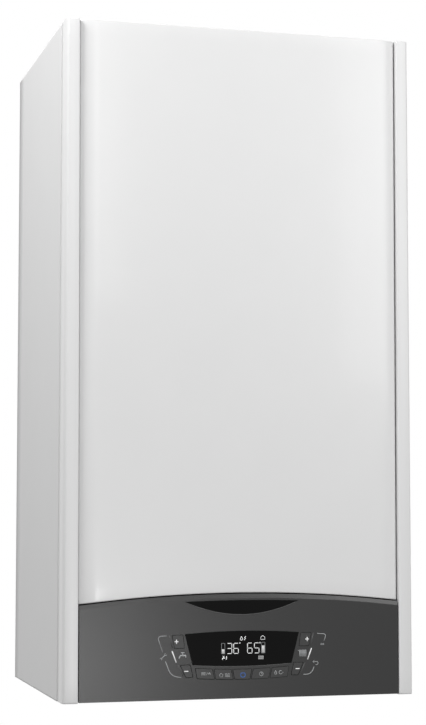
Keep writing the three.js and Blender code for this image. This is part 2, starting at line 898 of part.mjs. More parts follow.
function frontDoor() {
  const cutDepth = frontReturn + seamGap;
  const outer = frontPrism(doorShape(0), frontBack, frontBack - doorFace).intersect(
    planPrism(doorPlan(doorFace), 0, casingHeight + 1),
  );
  const hollow = frontPrism(doorShape(casingSheet), frontBack + 1, cutDepth).intersect(
    planPrism(doorPlan(doorFace + casingSheet), 0, casingHeight + 1),
  );
  const low = doorArchEnd + footInset;
  const high = casingHeight - footInset;
  const edge = halfWidth - railWall - seatGap;
  const fold = frontPrism(
    outline([
      [frontHalf(low) - casingSheet, low],
      [edge, low],
      [edge, high],
      [frontHalf(high) - casingSheet, high],
    ]),
    frontBack,
    casingSheet,
  );
  const pinSpan = [frontBack - casingSheet / 2, chassisFront + clipPinLength];
  const pins = clipPinHeights.map((z) => clipPin(clipPinRadius, pinSpan).translate([0, 0, z]));
  const rightEdge = union(fold, ...pins);
  return piece("front_door", union(outer.subtract(hollow), rightEdge, rightEdge.mirror([1, 0, 0])), whitePaint);
}

// A rail seen from the front and from above, drawn in by its wall for the hollow.
function railShape(inset) {
  return outline(
    [
      [halfWidth - railWidth(0) + inset, inset],
      [halfWidth - inset, inset],
      [halfWidth - inset, casingHeight - inset],
      [halfWidth - railWidth(casingHeight) + inset, casingHeight - inset],
    ],
    railCorner,
  );
}

function railPlan(inset) {
  const front = -casingDepth + inset;
  const outerEdge = halfWidth - inset;
  const shape = new THREE.Shape();
  shape.moveTo(halfWidth - 2 * railFoot, front);
  shape.lineTo(halfWidth - railFoot + railCorner, front);
  shape.quadraticCurveTo(outerEdge - 1, front + 1, outerEdge, front + railRoll);
  shape.lineTo(outerEdge, 0);
  shape.lineTo(halfWidth - 2 * railFoot, 0);
  shape.closePath();
  return shape;
}

function rightRail() {
  const outer = frontPrism(railShape(0), frontBack, frontReturn, 3).intersect(
    planPrism(railPlan(0), -1, casingHeight + 2, 5),
  );
  const hollow = frontPrism(railShape(railWall), frontBack + 1, frontReturn + 1, 3).intersect(
    planPrism(railPlan(railWall), -1, casingHeight + 2, 5),
  );
  const seat = block(
    [halfWidth - 2 * railFoot, halfWidth - railWall],
    [frontBack - casingSheet - seatGap, frontBack + 1],
    [-1, casingHeight + 1],
  );
  return piece("right_rail", outer.subtract(hollow).subtract(seat), railPlastic);
}

function frontCasing() {
  const group = new THREE.Group();
  const right = rightRail();
  group.add(frontDoor(), right, mirrored(right, "left_rail"));
  return group;
}

// ---------- control panel ----------
function fasciaShape(inset) {
  const low = fasciaFoot + inset;
  const high = doorArchEnd - shadowGap - inset;
  const shape = new THREE.Shape();
  shape.moveTo(-frontHalf(low) + inset, low);
  shape.lineTo(frontHalf(low) - inset, low);
  shape.lineTo(frontHalf(high) - inset, high);
  shape.quadraticCurveTo(0, high + 2 * doorArchRise, -frontHalf(high) + inset, high);
  shape.closePath();
  return shape;
}

function lensShape(inset) {
  const top = lensTop - inset;
  const bottom = lensBottom + inset;
  const shape = new THREE.Shape();
  shape.moveTo(-lensBottomHalf + inset, bottom);
  shape.quadraticCurveTo(0, bottom - 2 * lensBottomBow, lensBottomHalf - inset, bottom);
  shape.lineTo(lensTopHalf - inset, top);
  shape.quadraticCurveTo(0, top + 2 * lensTopBow, -lensTopHalf + inset, top);
  shape.closePath();
  return shape;
}

function badgeShape(inset) {
  const half = badgeHalf - 2 * inset;
  const shape = new THREE.Shape();
  shape.moveTo(-half, badgeTop - inset / 2);
  shape.quadraticCurveTo(0, badgeTop - 2 * (badgeDepth - inset), half, badgeTop - inset / 2);
  shape.quadraticCurveTo(0, badgeTop + 2 * badgeTopBow - inset, -half, badgeTop - inset / 2);
  shape.closePath();
  return shape;
}

// The cell of one key in the lower row, between two of its six borders.
function rowCell(index) {
  const share = [-1, -0.5 - powerTopHalf / rowTopHalf / 2, -powerTopHalf / rowTopHalf];
  const foot = [-1, -0.5 - powerBottomHalf / rowBottomHalf / 2, -powerBottomHalf / rowBottomHalf];
  const upper = [...share, ...share.map((value) => -value).reverse()];
  const lower = [...foot, ...foot.map((value) => -value).reverse()];
  const topPoint = (s) => [s * rowTopHalf, rowTop + rowTopRise * s * s];
  const bottomPoint = (s) => [s * rowBottomHalf, rowBottom + rowBottomRise * s * s];
  const cell = [
    bottomPoint(lower[index]),
    bottomPoint(lower[index + 1]),
    topPoint(upper[index + 1]),
    topPoint(upper[index]),
  ];
  return shrunk(cell, keyWeb / 2);
}

function otherSide(cell) {
  return cell.map(([x, z]) => [-x, z]).reverse();
}

// Every key with the outline of its hole in the fascia.
const keyCells = [
  ["key_hot_water_plus", otherSide(plusCell)],
  ["key_hot_water_minus", otherSide(minusCell)],
  ["key_heating_plus", plusCell],
  ["key_heating_minus", minusCell],
  ["key_mode", rowCell(0)],
  ["key_comfort", rowCell(1)],
  ["key_power", rowCell(2)],
  ["key_auto", rowCell(3)],
  ["key_reset", rowCell(4)],
];

// What is left in front when the band along the arched top is slanted back; it stands clear of the other edges.
function fasciaCrown() {
  const clear = 3 * fasciaBandHeight;
  const low = fasciaFoot - clear;
  const high = doorArchEnd - shadowGap;
  const wide = halfWidth + clear;
  const fall = ((wide - frontHalf(high)) * 2 * doorArchRise) / frontHalf(high);
  const arch = fasciaShape(0)
    .getPoints(arcSegments)
    .filter((point) => point.y > high - seatGap);
  const rim = [[-wide, low], [wide, low], [wide, high - fall], ...arch.map((point) => [point.x, point.y]), [-wide, high - fall]];
  const geometry = new THREE.ExtrudeGeometry(new THREE.Shape(rim.map(([x, z]) => new THREE.Vector2(x, z))), {
    depth: 2 * fasciaReturn,
    bevelThickness: fasciaBandDepth,
    bevelSize: fasciaBandHeight,
    bevelOffset: -fasciaBandHeight,
    bevelSegments: 1,
  });
  return solid(geometry.rotateX(Math.PI / 2).translate(0, fasciaFace + fasciaBandDepth + 2 * fasciaReturn, 0));
}
function fascia() {
  const back = fasciaFace + fasciaReturn;
  const shell = frontPrism(fasciaShape(0), back, fasciaReturn).subtract(
    frontPrism(fasciaShape(fasciaWall), back + 1, fasciaReturn - fasciaWall + 1),
  );
  const earInner = frontHalf(pivotHeight) - earInset - earThickness;
  const inside = frontHalf(fasciaFoot) - fasciaWall;
  const behindFace = [fasciaFace + fasciaWall, back + 1];
  const foldCuts = [-1, 1].map((side) => {
    const span = [side * (earInner - foldClearance), side * inside].sort((a, b) => a - b);
    return block(span, behindFace, [fasciaFoot - 1, fasciaFoot + fasciaWall + 1]);
  });
  const pinHoles = [-1, 1].map((side) => {
    const span = [side * (inside - fasciaWall), side * halfWidth].sort((a, b) => a - b);
    return turnedX(rod(pinRadius + runGap, ...span), smallSides).translate([0, pivotY, pivotHeight]);
  });
  const cutBack = fasciaFace + fasciaWall + 1;
  const cutDepth = fasciaWall + 2;
  const keyHoles = keyCells.map(([, cell]) => frontPrism(outline(cell, keyCorner), cutBack, cutDepth, 2));
  const lensHole = frontPrism(lensShape(-seatGap), cutBack, cutDepth);
  const badgePocket = frontPrism(
    badgeShape(-seatGap),
    proudFace + badgeThickness + seatGap,
    badgeThickness + seatGap + 1,
  );
  const cuts = union(...foldCuts, ...pinHoles, ...keyHoles, lensHole, badgePocket);
  return piece("fascia", shell.subtract(cuts).intersect(fasciaCrown()), anthracite);
}

function key([name, cell]) {
  const back = proudFace + keyThickness;
  const cap = frontPrism(outline(shrunk(cell, keyGap), keyCorner - keyGap), back, keyThickness, 2);
  const centre = [0, 1].map((axis) => cell.reduce((sum, corner) => sum + corner[axis], 0) / cell.length);
  const stemEnd = boardFront - keyTravel - seatGap;
  const stem = turnedY(rod(keyStemRadius, back - 1, stemEnd), 8).translate([centre[0], 0, centre[1]]);
  return piece(name, cap.add(stem), anthracite);
}

function lcdModule() {
  const span = [-lcdWidth / 2, lcdWidth / 2];
  const height = [lcdCentre - lcdHeight / 2, lcdCentre + lcdHeight / 2];
  return piece("lcd_module", block(span, [lcdFront, lcdFront + lcdThickness], height), lightPlastic);
}

function circuitBoard() {
  const low = boxFoot + boxWall + seatGap;
  const high = boxFoot + boxHeight - boxWall - seatGap;
  const back = boardFront + boardThickness;
  const middle = (low + high) / 2;
  const parts = [block([-boardWidth / 2, boardWidth / 2], [boardFront, back], [low, high])];
  const transformerX = -boardWidth / 3;
  parts.push(
    block(
      [transformerX - transformerSize / 2, transformerX + transformerSize / 2],
      [back - 0.5, back + transformerSize],
      [middle - transformerSize / 2, middle + transformerSize / 2],
    ),
  );
  for (let i = 0; i < 3; i += 1) {
    const x = boardWidth / 4 + i * relaySize * 1.3;
    parts.push(block([x - relaySize / 2, x + relaySize / 2], [back - 0.5, back + relaySize], [middle, middle + relaySize * 1.5]));
  }
  const capacitor = turnedY(rod(capacitorRadius, back - 0.5, back + transformerSize), smallSides);
  parts.push(capacitor.translate([0, 0, middle + capacitorRadius]));
  parts.push(block([-boardWidth / 8, boardWidth / 2.2], [back - 0.5, back + relaySize * 0.8], [low, low + relaySize / 2]));
  return piece("circuit_board", union(...parts), boardGreen);
}

function controlBox() {
  const half = boardWidth / 2 + seatGap + boxWall;
  const back = boxBack;
  const outer = block([-half, half], [boxFront, back], [boxFoot, boxFoot + boxHeight]);
  const hollow = block(
    [-half + boxWall, half - boxWall],
    [boxFront - 1, back - boxWall],
    [boxFoot + boxWall, boxFoot + boxHeight - boxWall],
  );
  const slot = block(
    [-half + harnessSlotInset, -half + harnessSlotInset + harnessSlotWidth],
    [boxFront - 1, back - boxWall - harnessSlotLip],
    [boxFoot + boxHeight - boxWall - 1, boxFoot + boxHeight + 1],
  );
  return piece("control_box", outer.subtract(union(hollow, slot)), darkPlastic);
}

function controlPanel() {
  const group = new THREE.Group();
  const lens = frontPrism(lensShape(0), proudFace + lensThickness, lensThickness);
  const badge = frontPrism(badgeShape(0), proudFace + badgeThickness, badgeThickness);
  group.add(fascia(), piece("display_lens", lens, blackGloss), piece("badge_plate", badge, blackGloss));
  group.add(lcdModule(), circuitBoard(), controlBox(), ...keyCells.map(key));
  return group;
}

// ---------- expansion vessel ----------
function vesselShape(inset) {
  return rectangle(
    -vesselWidth / 2 + inset,
    vesselWidth / 2 - inset,
    -vesselHeight / 2 + inset,
    vesselHeight / 2 - inset,
    vesselCorner - inset,
  );
}

// One dished half-pair: the outline with both faces rounded in, thinner by the inset all round.
function vesselBody(inset) {
  const dome = vesselDome - inset / 2;
  const geometry = new THREE.ExtrudeGeometry(vesselShape(inset), {
    depth: vesselDepth - 2 * inset - 2 * dome,
    bevelThickness: dome,
    bevelSize: dome,
    bevelOffset: -dome,
    bevelSegments: 3,
    curveSegments: 5,
  });
  return solid(geometry.translate(0, 0, dome + inset).rotateX(Math.PI / 2));
}

function expansionVessel() {
  const shell = vesselBody(0);
  const rim = frontPrism(vesselShape(-vesselRim), -(vesselDepth - vesselRimThickness) / 2, vesselRimThickness, 5);
  const portLow = -vesselHeight / 2 - vesselRim - vesselPortDrop;
  const portHigh = -vesselHeight / 2 + vesselDome;
  const port = turnedZ(rod(vesselPortRadius, portLow, portHigh), pipeSides);
  const bore = turnedZ(rod(vesselPortBore, portLow - 1, portHigh + vesselDome), 8);
  const portPlace = [vesselPortX, -vesselDepth / 2, 0];
  const body = union(shell, rim, port.translate(portPlace)).subtract(
    union(vesselBody(vesselWall), bore.translate(portPlace)),
  );
  return placed(piece("expansion_vessel", body, vesselRed), 0, vesselBack, vesselCentre);
}

// ---------- heat cell, laid out round the middle of the shell's front face ----------
function exchangerShell() {
  const half = shellSize / 2;
  const square = (grow) => rectangle(-half - grow, half + grow, -half - grow, half + grow, shellCorner);
  const bodies = [frontPrism(square(-shellRibRise), shellDepth, shellDepth, 6)];
  const pitch = (shellDepth - shellRibWidth) / (shellRibCount - 1);
  for (let i = 0; i < shellRibCount; i += 1) {
    bodies.push(frontPrism(square(0), shellRibWidth + i * pitch, shellRibWidth, 6));
  }
  const ports = [
    [flowInletX, cellPortY],
    [returnOutletX, cellPortY],
    [trapX, -trapDepth],
  ].map(([x, y]) => {
    const port = turnedZ(rod(portRadius, -half - cellPortDrop, -half + 2 * cellPortDrop));
    return port.translate([x - cellX, y - shellFront, 0]);
  });
  const cavity = turnedY(rod(shellCavityRadius, -1, cavityDepth));
  const exit = turnedZ(rod(flueExitRadius, 0, half + 1)).translate([-cellX, flueY - shellFront, 0]);
  const railFrom = coilRadius + coilTubeRadius + seatGap;
  const rails = [90, 210, 330].map((angle) => {
    const rail = block(
      [railFrom, shellCavityRadius + 2],
      [coilFrontRoom, cavityDepth + 1],
      [-coilRailWidth / 2, coilRailWidth / 2],
    );
    return rail.rotate([0, angle - 60, 0]);
  });
  const body = union(...bodies, ...ports).subtract(cavity).subtract(exit).add(union(...rails));
  return piece("exchanger_shell", body, castAluminium);
}

// The coil: a tube wound round the Y axis, one unbroken helix.
class Helix extends THREE.Curve {
  getPoint(t) {
    const angle = 2 * Math.PI * coilTurns * t;
    const along = coilPitch * coilTurns * t;
    return new THREE.Vector3(coilRadius * Math.cos(angle), along, coilRadius * Math.sin(angle));
  }
}

function exchangerCoil() {
  const geometry = new THREE.ExtrudeGeometry(circle(coilTubeRadius, coilSides), {
    steps: coilSteps * coilTurns,
    bevelEnabled: false,
    extrudePath: new Helix(),
  });
  return piece("exchanger_coil", solid(geometry.translate(0, coilFront, 0)), stainless);
}

// The burner door with the channel that brings the mixture from the fan's outlet to the burner.
function burnerDoor() {
  const channelStart = fanX + fanOutletReach + seatGap - cellX;
  const half = channelWidth / 2;
  const top = channelTop - cellCentre;
  const plate = turnedY(rod(doorPlateRadius, -doorPlateThickness, 0), 32);
  const run = outline(
    [
      [channelStart, top - channelWidth],
      [-half, top - channelWidth],
      [-half, -half],
      [half, -half],
      [half, top],
      [channelStart, top],
    ],
    channelCorner,
  );
  const square = rectangle(channelStart, channelStart + 2 * channelCorner, top - channelWidth, top);
  const channel = frontPrism(run, -doorPlateThickness + 1, channelDepth + 1, 3).add(
    frontPrism(square, -doorPlateThickness + 1, channelDepth + 1),
  );
  const port = turnedY(rod(burnerRadius - 2 * burnerWall, -doorPlateThickness, 1));
  const electrodeHole = turnedY(rod(electrodeRadius + runGap, -doorPlateThickness - 1, 1), smallSides);
  const body = plate
    .add(channel)
    .subtract(port)
    .subtract(electrodeHole.translate([electrodeX, 0, -electrodeDrop]));
  return placed(piece("burner_door", body, castAluminium), 0, -seatGap, 0);
}

function burnerTube() {
  const inner = burnerRadius - burnerWall;
  const tube = turnedY([
    [0, burnerLength - burnerWall],
    [inner, burnerLength - burnerWall],
    [inner, 0],
    [burnerRadius, 0],
    [burnerRadius, burnerLength],
    [0, burnerLength],
  ]);
  return piece("burner_tube", tube, stainless);
}

function ignitionElectrode() {
  const front = -doorPlateThickness - electrodeFront;
  const electrode = turnedY(
    [
      [0, front],
      [electrodeRadius, front],
      [electrodeRadius, electrodeBody],
      [electrodeTipRadius, electrodeBody],
      [electrodeTipRadius, electrodeTip],
      [0, electrodeTip],
    ],
    smallSides,
  );
  return placed(piece("ignition_electrode", electrode, ceramicWhite), electrodeX, -seatGap, -electrodeDrop);
}

function heatCell() {
  const group = new THREE.Group();
  group.position.set(cellX, shellFront, cellCentre);
  group.add(exchangerShell(), exchangerCoil(), burnerDoor(), burnerTube(), ignitionElectrode());
  return group;
}

// ---------- fan and air path, laid out round the fan's axis ----------
// The volute seen from the front: a spiral that opens into the outlet at its upper right.
function voluteShape(inset, reach) {
  const top = voluteLarge - inset;
  const corners = [
    [reach, top],
    [0, top],
  ];
  const first = 90;
  const last = 360 + voluteTongue;
  const steps = 20;
  for (let step = 1; step <= steps; step += 1) {
    const angle = first + ((last - first) * step) / steps;
    const radius = voluteLarge - ((voluteLarge - voluteSmall) * step) / steps - inset;
    const turn = THREE.MathUtils.degToRad(angle);
    corners.push([radius * Math.cos(turn), radius * Math.sin(turn)]);
  }
  corners.push([reach, voluteLarge - fanOutletHeight + inset]);
  return outline(corners);
}

function fanHousing() {
  const shell = frontPrism(voluteShape(0, fanOutletReach), fanRear, fanDepth);
  const hollow = frontPrism(voluteShape(fanWall, fanOutletReach + 1), fanRear - fanWall, fanDepth - 2 * fanWall);
  const inlet = turnedY(rod(fanInletRadius, fanRear - fanWall - 1, fanRear + 1));
  const shaftHole = turnedY(rod(shaftRadius + runGap, fanFront - 1, fanFront + fanWall + 1), smallSides);
  return piece("fan_housing", shell.subtract(union(hollow, inlet, shaftHole)), castAluminium);
}

function fanImpeller() {
  const front = fanFront + fanWall + 2;
  const bladeEnd = front + impellerDisc + impellerBladeHeight;
  const disc = turnedY(rod(impellerRadius, front, front + impellerDisc));
  const hub = turnedY(rod(impellerHub, front, bladeEnd), smallSides);
  const blades = [];
  for (let i = 0; i < impellerBlades; i += 1) {
    const blade = block(
      [impellerInner, impellerRadius - 1],
      [front + impellerDisc / 2, bladeEnd],
      [-bladeThickness / 2, bladeThickness / 2],
    );
    blades.push(blade.rotate([0, (360 * i) / impellerBlades, 0]));
  }
  const bore = turnedY(rod(shaftRadius + runGap, front - 1, bladeEnd + 1), smallSides);
  return piece("fan_impeller", union(disc, hub, ...blades).subtract(bore), darkPlastic);
}

function fanMotor() {
  const back = fanFront - seatGap;
  const can = turnedY([
    [0, back - fanMotorLength],
    [fanMotorRadius - 4, back - fanMotorLength],
    [fanMotorRadius, back - fanMotorLength + 4],
    [fanMotorRadius, back],
    [0, back],
  ]);
  const shaft = turnedY(rod(shaftRadius, back - 1, back + shaftReach), pipeSides);
  return piece("fan_motor", can.add(shaft), darkCast);
}

function airMixer() {
  const rise = mixerBranch;
  const barrel = turnedY(rod(mixerRadius, mixerMouth, mixerMouth + mixerLength + mixerFloor));
  const branch = turnedZ(rod(mixerRadius - 2, 0, rise)).translate([0, mixerTurn, 0]);
  const boss = turnedZ(rod(gasBossRadius, -gasBossDrop, 0), smallSides).translate([0, gasAxisY, 0]);
  const bore = turnedY(rod(mixerBore, mixerMouth - 1, mixerMouth + mixerLength));
  const upBore = turnedZ(rod(mixerBore - 2, 0, rise + 1)).translate([0, mixerTurn, 0]);
  return piece("air_mixer", union(barrel, branch, boss).subtract(bore).subtract(upBore), castAluminium);
}

function airSilencer() {
  const foot = mixerBranch + seatGap;
  const tube = turnedZ([
    [mixerBore, foot],
    [silencerRadius, foot],
    [silencerRadius, foot + silencerHeight],
    [silencerBore, foot + silencerHeight],
    [silencerBore, foot + fanWall],
    [mixerBore, foot + fanWall],
    [mixerBore, foot],
  ]);
  return placed(piece("air_silencer", tube, darkPlastic), 0, mixerTurn, 0);
}

function airPath() {
  const group = new THREE.Group();
  group.position.set(fanX, 0, fanZ);
  group.add(fanHousing(), fanImpeller(), fanMotor(), airMixer(), airSilencer());
  return group;
}

// ---------- gas line ----------
function gasValve() {
  const halfHeight = gasValveHeight / 2;
  const nutTop = halfHeight + nutHeight;
  const front = -gasValveDepth / 2;
  const body = block(
    [-gasValveWidth / 2, gasValveWidth / 2],
    [front, gasValveDepth / 2],
    [-halfHeight, halfHeight],
  );
  const nuts = turnedZ(rod(nutRadius, -nutTop, nutTop), 6);
  const solenoids = [-solenoidOffset, solenoidOffset].map((z) => {
    return turnedY(rod(solenoidRadius, front - solenoidReach, front + 1), smallSides).translate([0, 0, z]);
  });
  return placed(piece("gas_valve", union(body, nuts, ...solenoids), castAluminium), fanX, gasAxisY, gasValveCentre);
}

function gasPipeUpper() {
  const foot = gasValveTop + seatGap;
  const top = fanZ - gasBossDrop - seatGap;
  return placed(piece("gas_pipe_upper", turnedZ(rod(gasPipeRadius, foot, top), smallSides), steelPipe), fanX, gasAxisY, 0);
}

function gasPipe() {
  const corners = [
    [0, pipeY, pipeEnd + boreDepth + 1],
    [0, pipeY, gasRunHeight],
    [0, gasAxisY, gasRunHeight],
    [fanX, gasAxisY, gasRunHeight],
    [fanX, gasAxisY, gasValveBottom - seatGap],
  ];
  const thread = turnedZ(rod(largeThreadRadius, pipeEnd, groupFoot)).translate([0, pipeY, 0]);
  const bore = turnedZ(rod(largeBoreRadius, pipeEnd - 1, pipeEnd + boreDepth), smallSides);
  const body = pipe(corners, gasPipeRadius, 2.5 * gasPipeRadius).add(thread);
  return piece("gas_pipe", body.subtract(bore.translate([0, pipeY, 0])), steelPipe);
}

function gasLine() {
  const group = new THREE.Group();
  group.add(gasValve(), gasPipeUpper(), gasPipe());
  return group;
}

// ---------- condensate trap ----------
function condensateTrap() {
  const shoulder = trapFoot + trapBody;
  const body = turnedZ([
    [0, trapFoot],
    [trapRadius - 6, trapFoot],
    [trapRadius, trapFoot + 6],
    [trapRadius, shoulder],
    [trapNeck, shoulder + 8],
    [trapNeck, cellPortFace - seatGap],
    [0, cellPortFace - seatGap],
  ]);
  const tail = turnedZ(rod(drainRadius, -drainDrop, trapFoot + 8), smallSides);
  const bore = turnedZ(rod(drainBore, -drainDrop - 1, boreDepth - drainDrop), pipeSides);
  const drain = tail.subtract(bore).translate([drainX, -drainDepth, 0]);
  return piece("condensate_trap", body.translate([trapX, -trapDepth, 0]).add(drain), lightPlastic);
}

// ---------- water groups ----------
// A threaded stub under a group, and the bore that is cut back out of it.
function stub(x, radius) {
  return turnedZ(rod(radius, pipeEnd, groupFoot + 1), roundSides).translate([x, pipeY, 0]);
}

function stubBore(x, radius) {
  return turnedZ(rod(radius, pipeEnd - 1, pipeEnd + boreDepth), smallSides).translate([x, pipeY, 0]);
}

function flowGroup() {
  const span = [flowGroupLeft, -groupInside];
  const body = block(span, [groupFrontY, groupBackY], [groupFoot, groupTop]);
  const valve = turnedZ(rod(diverterRadius, groupTop - 1, diverterTop)).translate([diverterX, pipeY, 0]);
  const port = turnedZ(rod(portRadius, groupTop - 1, portTop)).translate([flowPortX, pipeY, 0]);
  const postSpan = [diverterTop - 1, actuatorFoot - seatGap];
  const posts = [-1, 1].map((side) => {
    const x = diverterX + side * (diverterRadius - actuatorPost);
    return turnedZ(rod(actuatorPost / 2, ...postSpan), 8).translate([x, pipeY, 0]);
  });
  const stubs = [stub(-2 * connectionPitch, largeThreadRadius), stub(-connectionPitch, smallThreadRadius)];
  const stemHole = turnedZ(rod(stemRadius + runGap, diverterTop - stemLength - stemTravel, diverterTop + 1), pipeSides);
  const cuts = union(
    stubBore(-2 * connectionPitch, largeBoreRadius),
    stubBore(-connectionPitch, smallBoreRadius),
    stemHole.translate([diverterX, pipeY, 0]),
  );
  return piece("flow_group", union(body, valve, port, ...posts, ...stubs).subtract(cuts), brass);
}

function returnGroup() {
  const body = block([groupInside, returnGroupRight], [groupFrontY, groupBackY], [groupFoot, groupTop]);
  const neck = turnedZ(rod(pumpInletRadius, groupTop - 1, groupTop + portHeight / 2)).translate([pumpX, pipeY, 0]);
  const stubs = [stub(connectionPitch, smallThreadRadius), stub(2 * connectionPitch, largeThreadRadius)];
  const bores = union(stubBore(connectionPitch, smallBoreRadius), stubBore(2 * connectionPitch, largeBoreRadius));
  return piece("return_group", union(body, neck, ...stubs).subtract(bores), brass);
}

function diverterStem() {
  const length = stemLength + actuatorLift;
  const foot = diverterTop - stemLength + stemTravel / 2;
  return placed(piece("diverter_stem", turnedZ(rod(stemRadius, foot, foot + length), pipeSides), stainless), diverterX, pipeY, 0);
}

function diverterActuator() {
  const half = actuatorSize / 2;
  const stemTop = diverterTop + actuatorLift + stemTravel / 2;
  const body = planPrism(rectangle(-half, half, -half, half, 5), actuatorFoot, actuatorHeight, 3);
  const hole = turnedZ(rod(stemRadius + runGap, actuatorFoot - 1, stemTop + stemTravel + 1), pipeSides);
  return placed(piece("diverter_actuator", body.subtract(hole), darkPlastic), diverterX, pipeY, 0);
}

function plateExchanger() {
  const back = groupBackY + seatGap + exchangerDepth;
  const pitch = exchangerDepth / exchangerPlates;
  const profile = [];
  for (let i = 0; i < exchangerPlates; i += 1) {
    const y = back - exchangerDepth + i * pitch;
    profile.push([y, 0], [y + pitch - plateGroove / 2, 0]);
    if (i < exchangerPlates - 1) profile.push([y + pitch - plateGroove / 4, plateGroove]);
  }
  const upper = profile.map(([y, dip]) => [y, exchangerFoot + exchangerHeight - dip]);
  const lower = profile.map(([y, dip]) => [y, exchangerFoot + dip]).reverse();
  const body = sidePrism(outline([...upper, ...lower]), -exchangerLength / 2, exchangerLength);
  return piece("plate_exchanger", body, stainless);
}

function pumpBody() {
  const housing = turnedY(rod(pumpRadius, pumpFront, pumpBack)).translate([0, 0, pumpCentre]);
  const cavity = turnedY(rod(pumpCavityRadius, pumpFront - 1, pumpFront + pumpCavityDepth));
  const inlet = turnedZ(rod(pumpInletRadius, groupTop + portHeight / 2 + seatGap, pumpCentre), roundSides);
  const outlet = turnedZ(rod(pumpInletRadius, pumpCentre, pumpCentre + pumpOutletRise), roundSides);
  const vent = turnedZ([
    [0, pumpCentre],
    [ventRadius, pumpCentre],
    [ventRadius, pumpCentre + pumpRadius + ventHeight - 6],
    [ventRadius - 4, pumpCentre + pumpRadius + ventHeight],
    [0, pumpCentre + pumpRadius + ventHeight],
  ], smallSides);
  const body = union(
    housing,
    inlet.translate([0, pipeY, 0]),
    outlet.translate([0, pipeY, 0]),
    vent.translate([-ventOffset, pipeY, 0]),
  ).subtract(cavity.translate([0, 0, pumpCentre]));
  return placed(piece("pump_body", body, darkPlastic), pumpX, 0, 0);
}

function pumpImpeller() {
  const front = pumpFront + 4;
  const back = front + pumpImpellerLength;
  const discs = union(
    turnedY(rod(pumpImpellerRadius, front, front + 2)),
    turnedY(rod(pumpImpellerRadius, back - 2, back)),
    turnedY(rod(pumpImpellerHub, front, back), smallSides),
  );
  const blades = [];
  for (let i = 0; i < pumpBlades; i += 1) {
    const blade = block([pumpImpellerHub - 1, pumpImpellerRadius - 1], [front + 1, back - 1], [-1, 1]);
    blades.push(blade.rotate([0, (360 * i) / pumpBlades, 0]));
  }
  const bore = turnedY(rod(pumpShaftRadius + runGap, front - 1, back + 1), smallSides);
  const body = union(discs, ...blades).subtract(bore);
  return placed(piece("pump_impeller", body, lightPlastic), pumpX, 0, pumpCentre);
}

function pumpMotor() {
  const back = pumpFront - seatGap;
  const front = back - pumpMotorLength;
  const can = turnedY([
    [0, front],
    [pumpMotorRadius - 5, front],
    [pumpMotorRadius, front + 5],
    [pumpMotorRadius, back],
    [0, back],
  ]);
  const shaft = turnedY(rod(pumpShaftRadius, back - 1, back + pumpShaftReach), pipeSides);
  const box = block(
    [-pumpBoxWidth / 2, pumpBoxWidth / 2],
    [front + 8, back - 8],
    [pumpMotorRadius - 8, pumpMotorRadius + pumpBoxHeight],
  );
  return placed(piece("pump_motor", union(can, shaft, box), darkCast), pumpX, 0, pumpCentre);
}

function flowPipe() {
  const corners = [
    [flowPortX, pipeY, portTop + seatGap],
    [flowPortX, pipeY, pipeTurnHeight],
    [flowInletX, cellPortY, pipeTurnHeight],
    [flowInletX, cellPortY, cellPortFace - seatGap],
  ];
  return piece("flow_pipe", pipe(corners, waterPipeRadius, 2 * waterPipeRadius), copper);
}

function returnPipe() {
  const corners = [
    [pumpX, pipeY, pumpCentre + pumpOutletRise + seatGap],
    [pumpX, pipeY, pipeTurnHeight],
    [returnOutletX, cellPortY, pipeTurnHeight],
    [returnOutletX, cellPortY, cellPortFace - seatGap],
  ];
  return piece("return_pipe", pipe(corners, waterPipeRadius, 2 * waterPipeRadius), copper);
}

function vesselPipe() {
  const corners = [
    [vesselPortX, vesselPortY, vesselPortEnd - seatGap],
    [vesselPortX, vesselPortY, vesselPipeHeight],
    [vesselPortX, groupBackY + seatGap, vesselPipeHeight],
  ];
  return piece("vessel_pipe", pipe(corners, vesselPipeRadius, 4 * vesselPipeRadius, 8), copper);
}

function waterGroups() {
  const group = new THREE.Group();
  group.add(flowGroup(), diverterStem(), diverterActuator(), returnGroup(), plateExchanger());
  group.add(pumpBody(), pumpImpeller(), pumpMotor(), flowPipe(), returnPipe(), vesselPipe());
  return group;
}

// ---------- fittings ----------
function safetyValve() {
  const back = groupFrontY - seatGap;
  const front = back - safetyLength;
  const body = turnedY([
    [0, front],
    [safetyRadius - 3, front],
    [safetyRadius - 3, front + 8],
    [safetyRadius, front + 10],
    [safetyRadius, back],
    [0, back],
  ], smallSides);
  const outlet = turnedZ(rod(safetyOutletRadius, -safetyOutletDrop, 0), pipeSides);
  const middle = (front + back) / 2;
  const valve = piece("safety_valve", body.add(outlet.translate([0, middle, 0])), brass);
  return placed(valve, safetyX, 0, safetyHeight);
}

// A round grip with flutes, turned round the Y axis from its seat towards the front.
function gripProfile(radius, length) {
  const shape = new THREE.Shape();
  const flutes = 8;
  const steps = flutes * 3;
  for (let i = 0; i < steps; i += 1) {
    const angle = (2 * Math.PI * i) / steps;
    const reach = radius * (1 - 0.06 * Math.cos(flutes * angle));
    if (i === 0) shape.moveTo(reach, 0);
    else shape.lineTo(reach * Math.cos(angle), reach * Math.sin(angle));
  }
  shape.closePath();
  return frontPrism(shape, 0, length);
}

function safetyKnob() {
  const back = groupFrontY - seatGap - safetyLength - seatGap;
  return placed(piece("safety_valve_knob", gripProfile(safetyKnobRadius, safetyKnobLength), knobRed), safetyX, back, safetyHeight);
}

function fillingKnob() {
  const grip = gripProfile(fillKnobRadius, fillKnobHeight).rotate([90, 0, 0]);
  const spindle = turnedZ(rod(fillSpindleRadius, -1, groupFoot - seatGap + fillKnobDrop - fillKnobHeight), pipeSides);
  const body = grip.add(spindle);
  return placed(piece("filling_knob", body, knobBlack), fillX, -fillDepth, fillKnobHeight - fillKnobDrop);
}

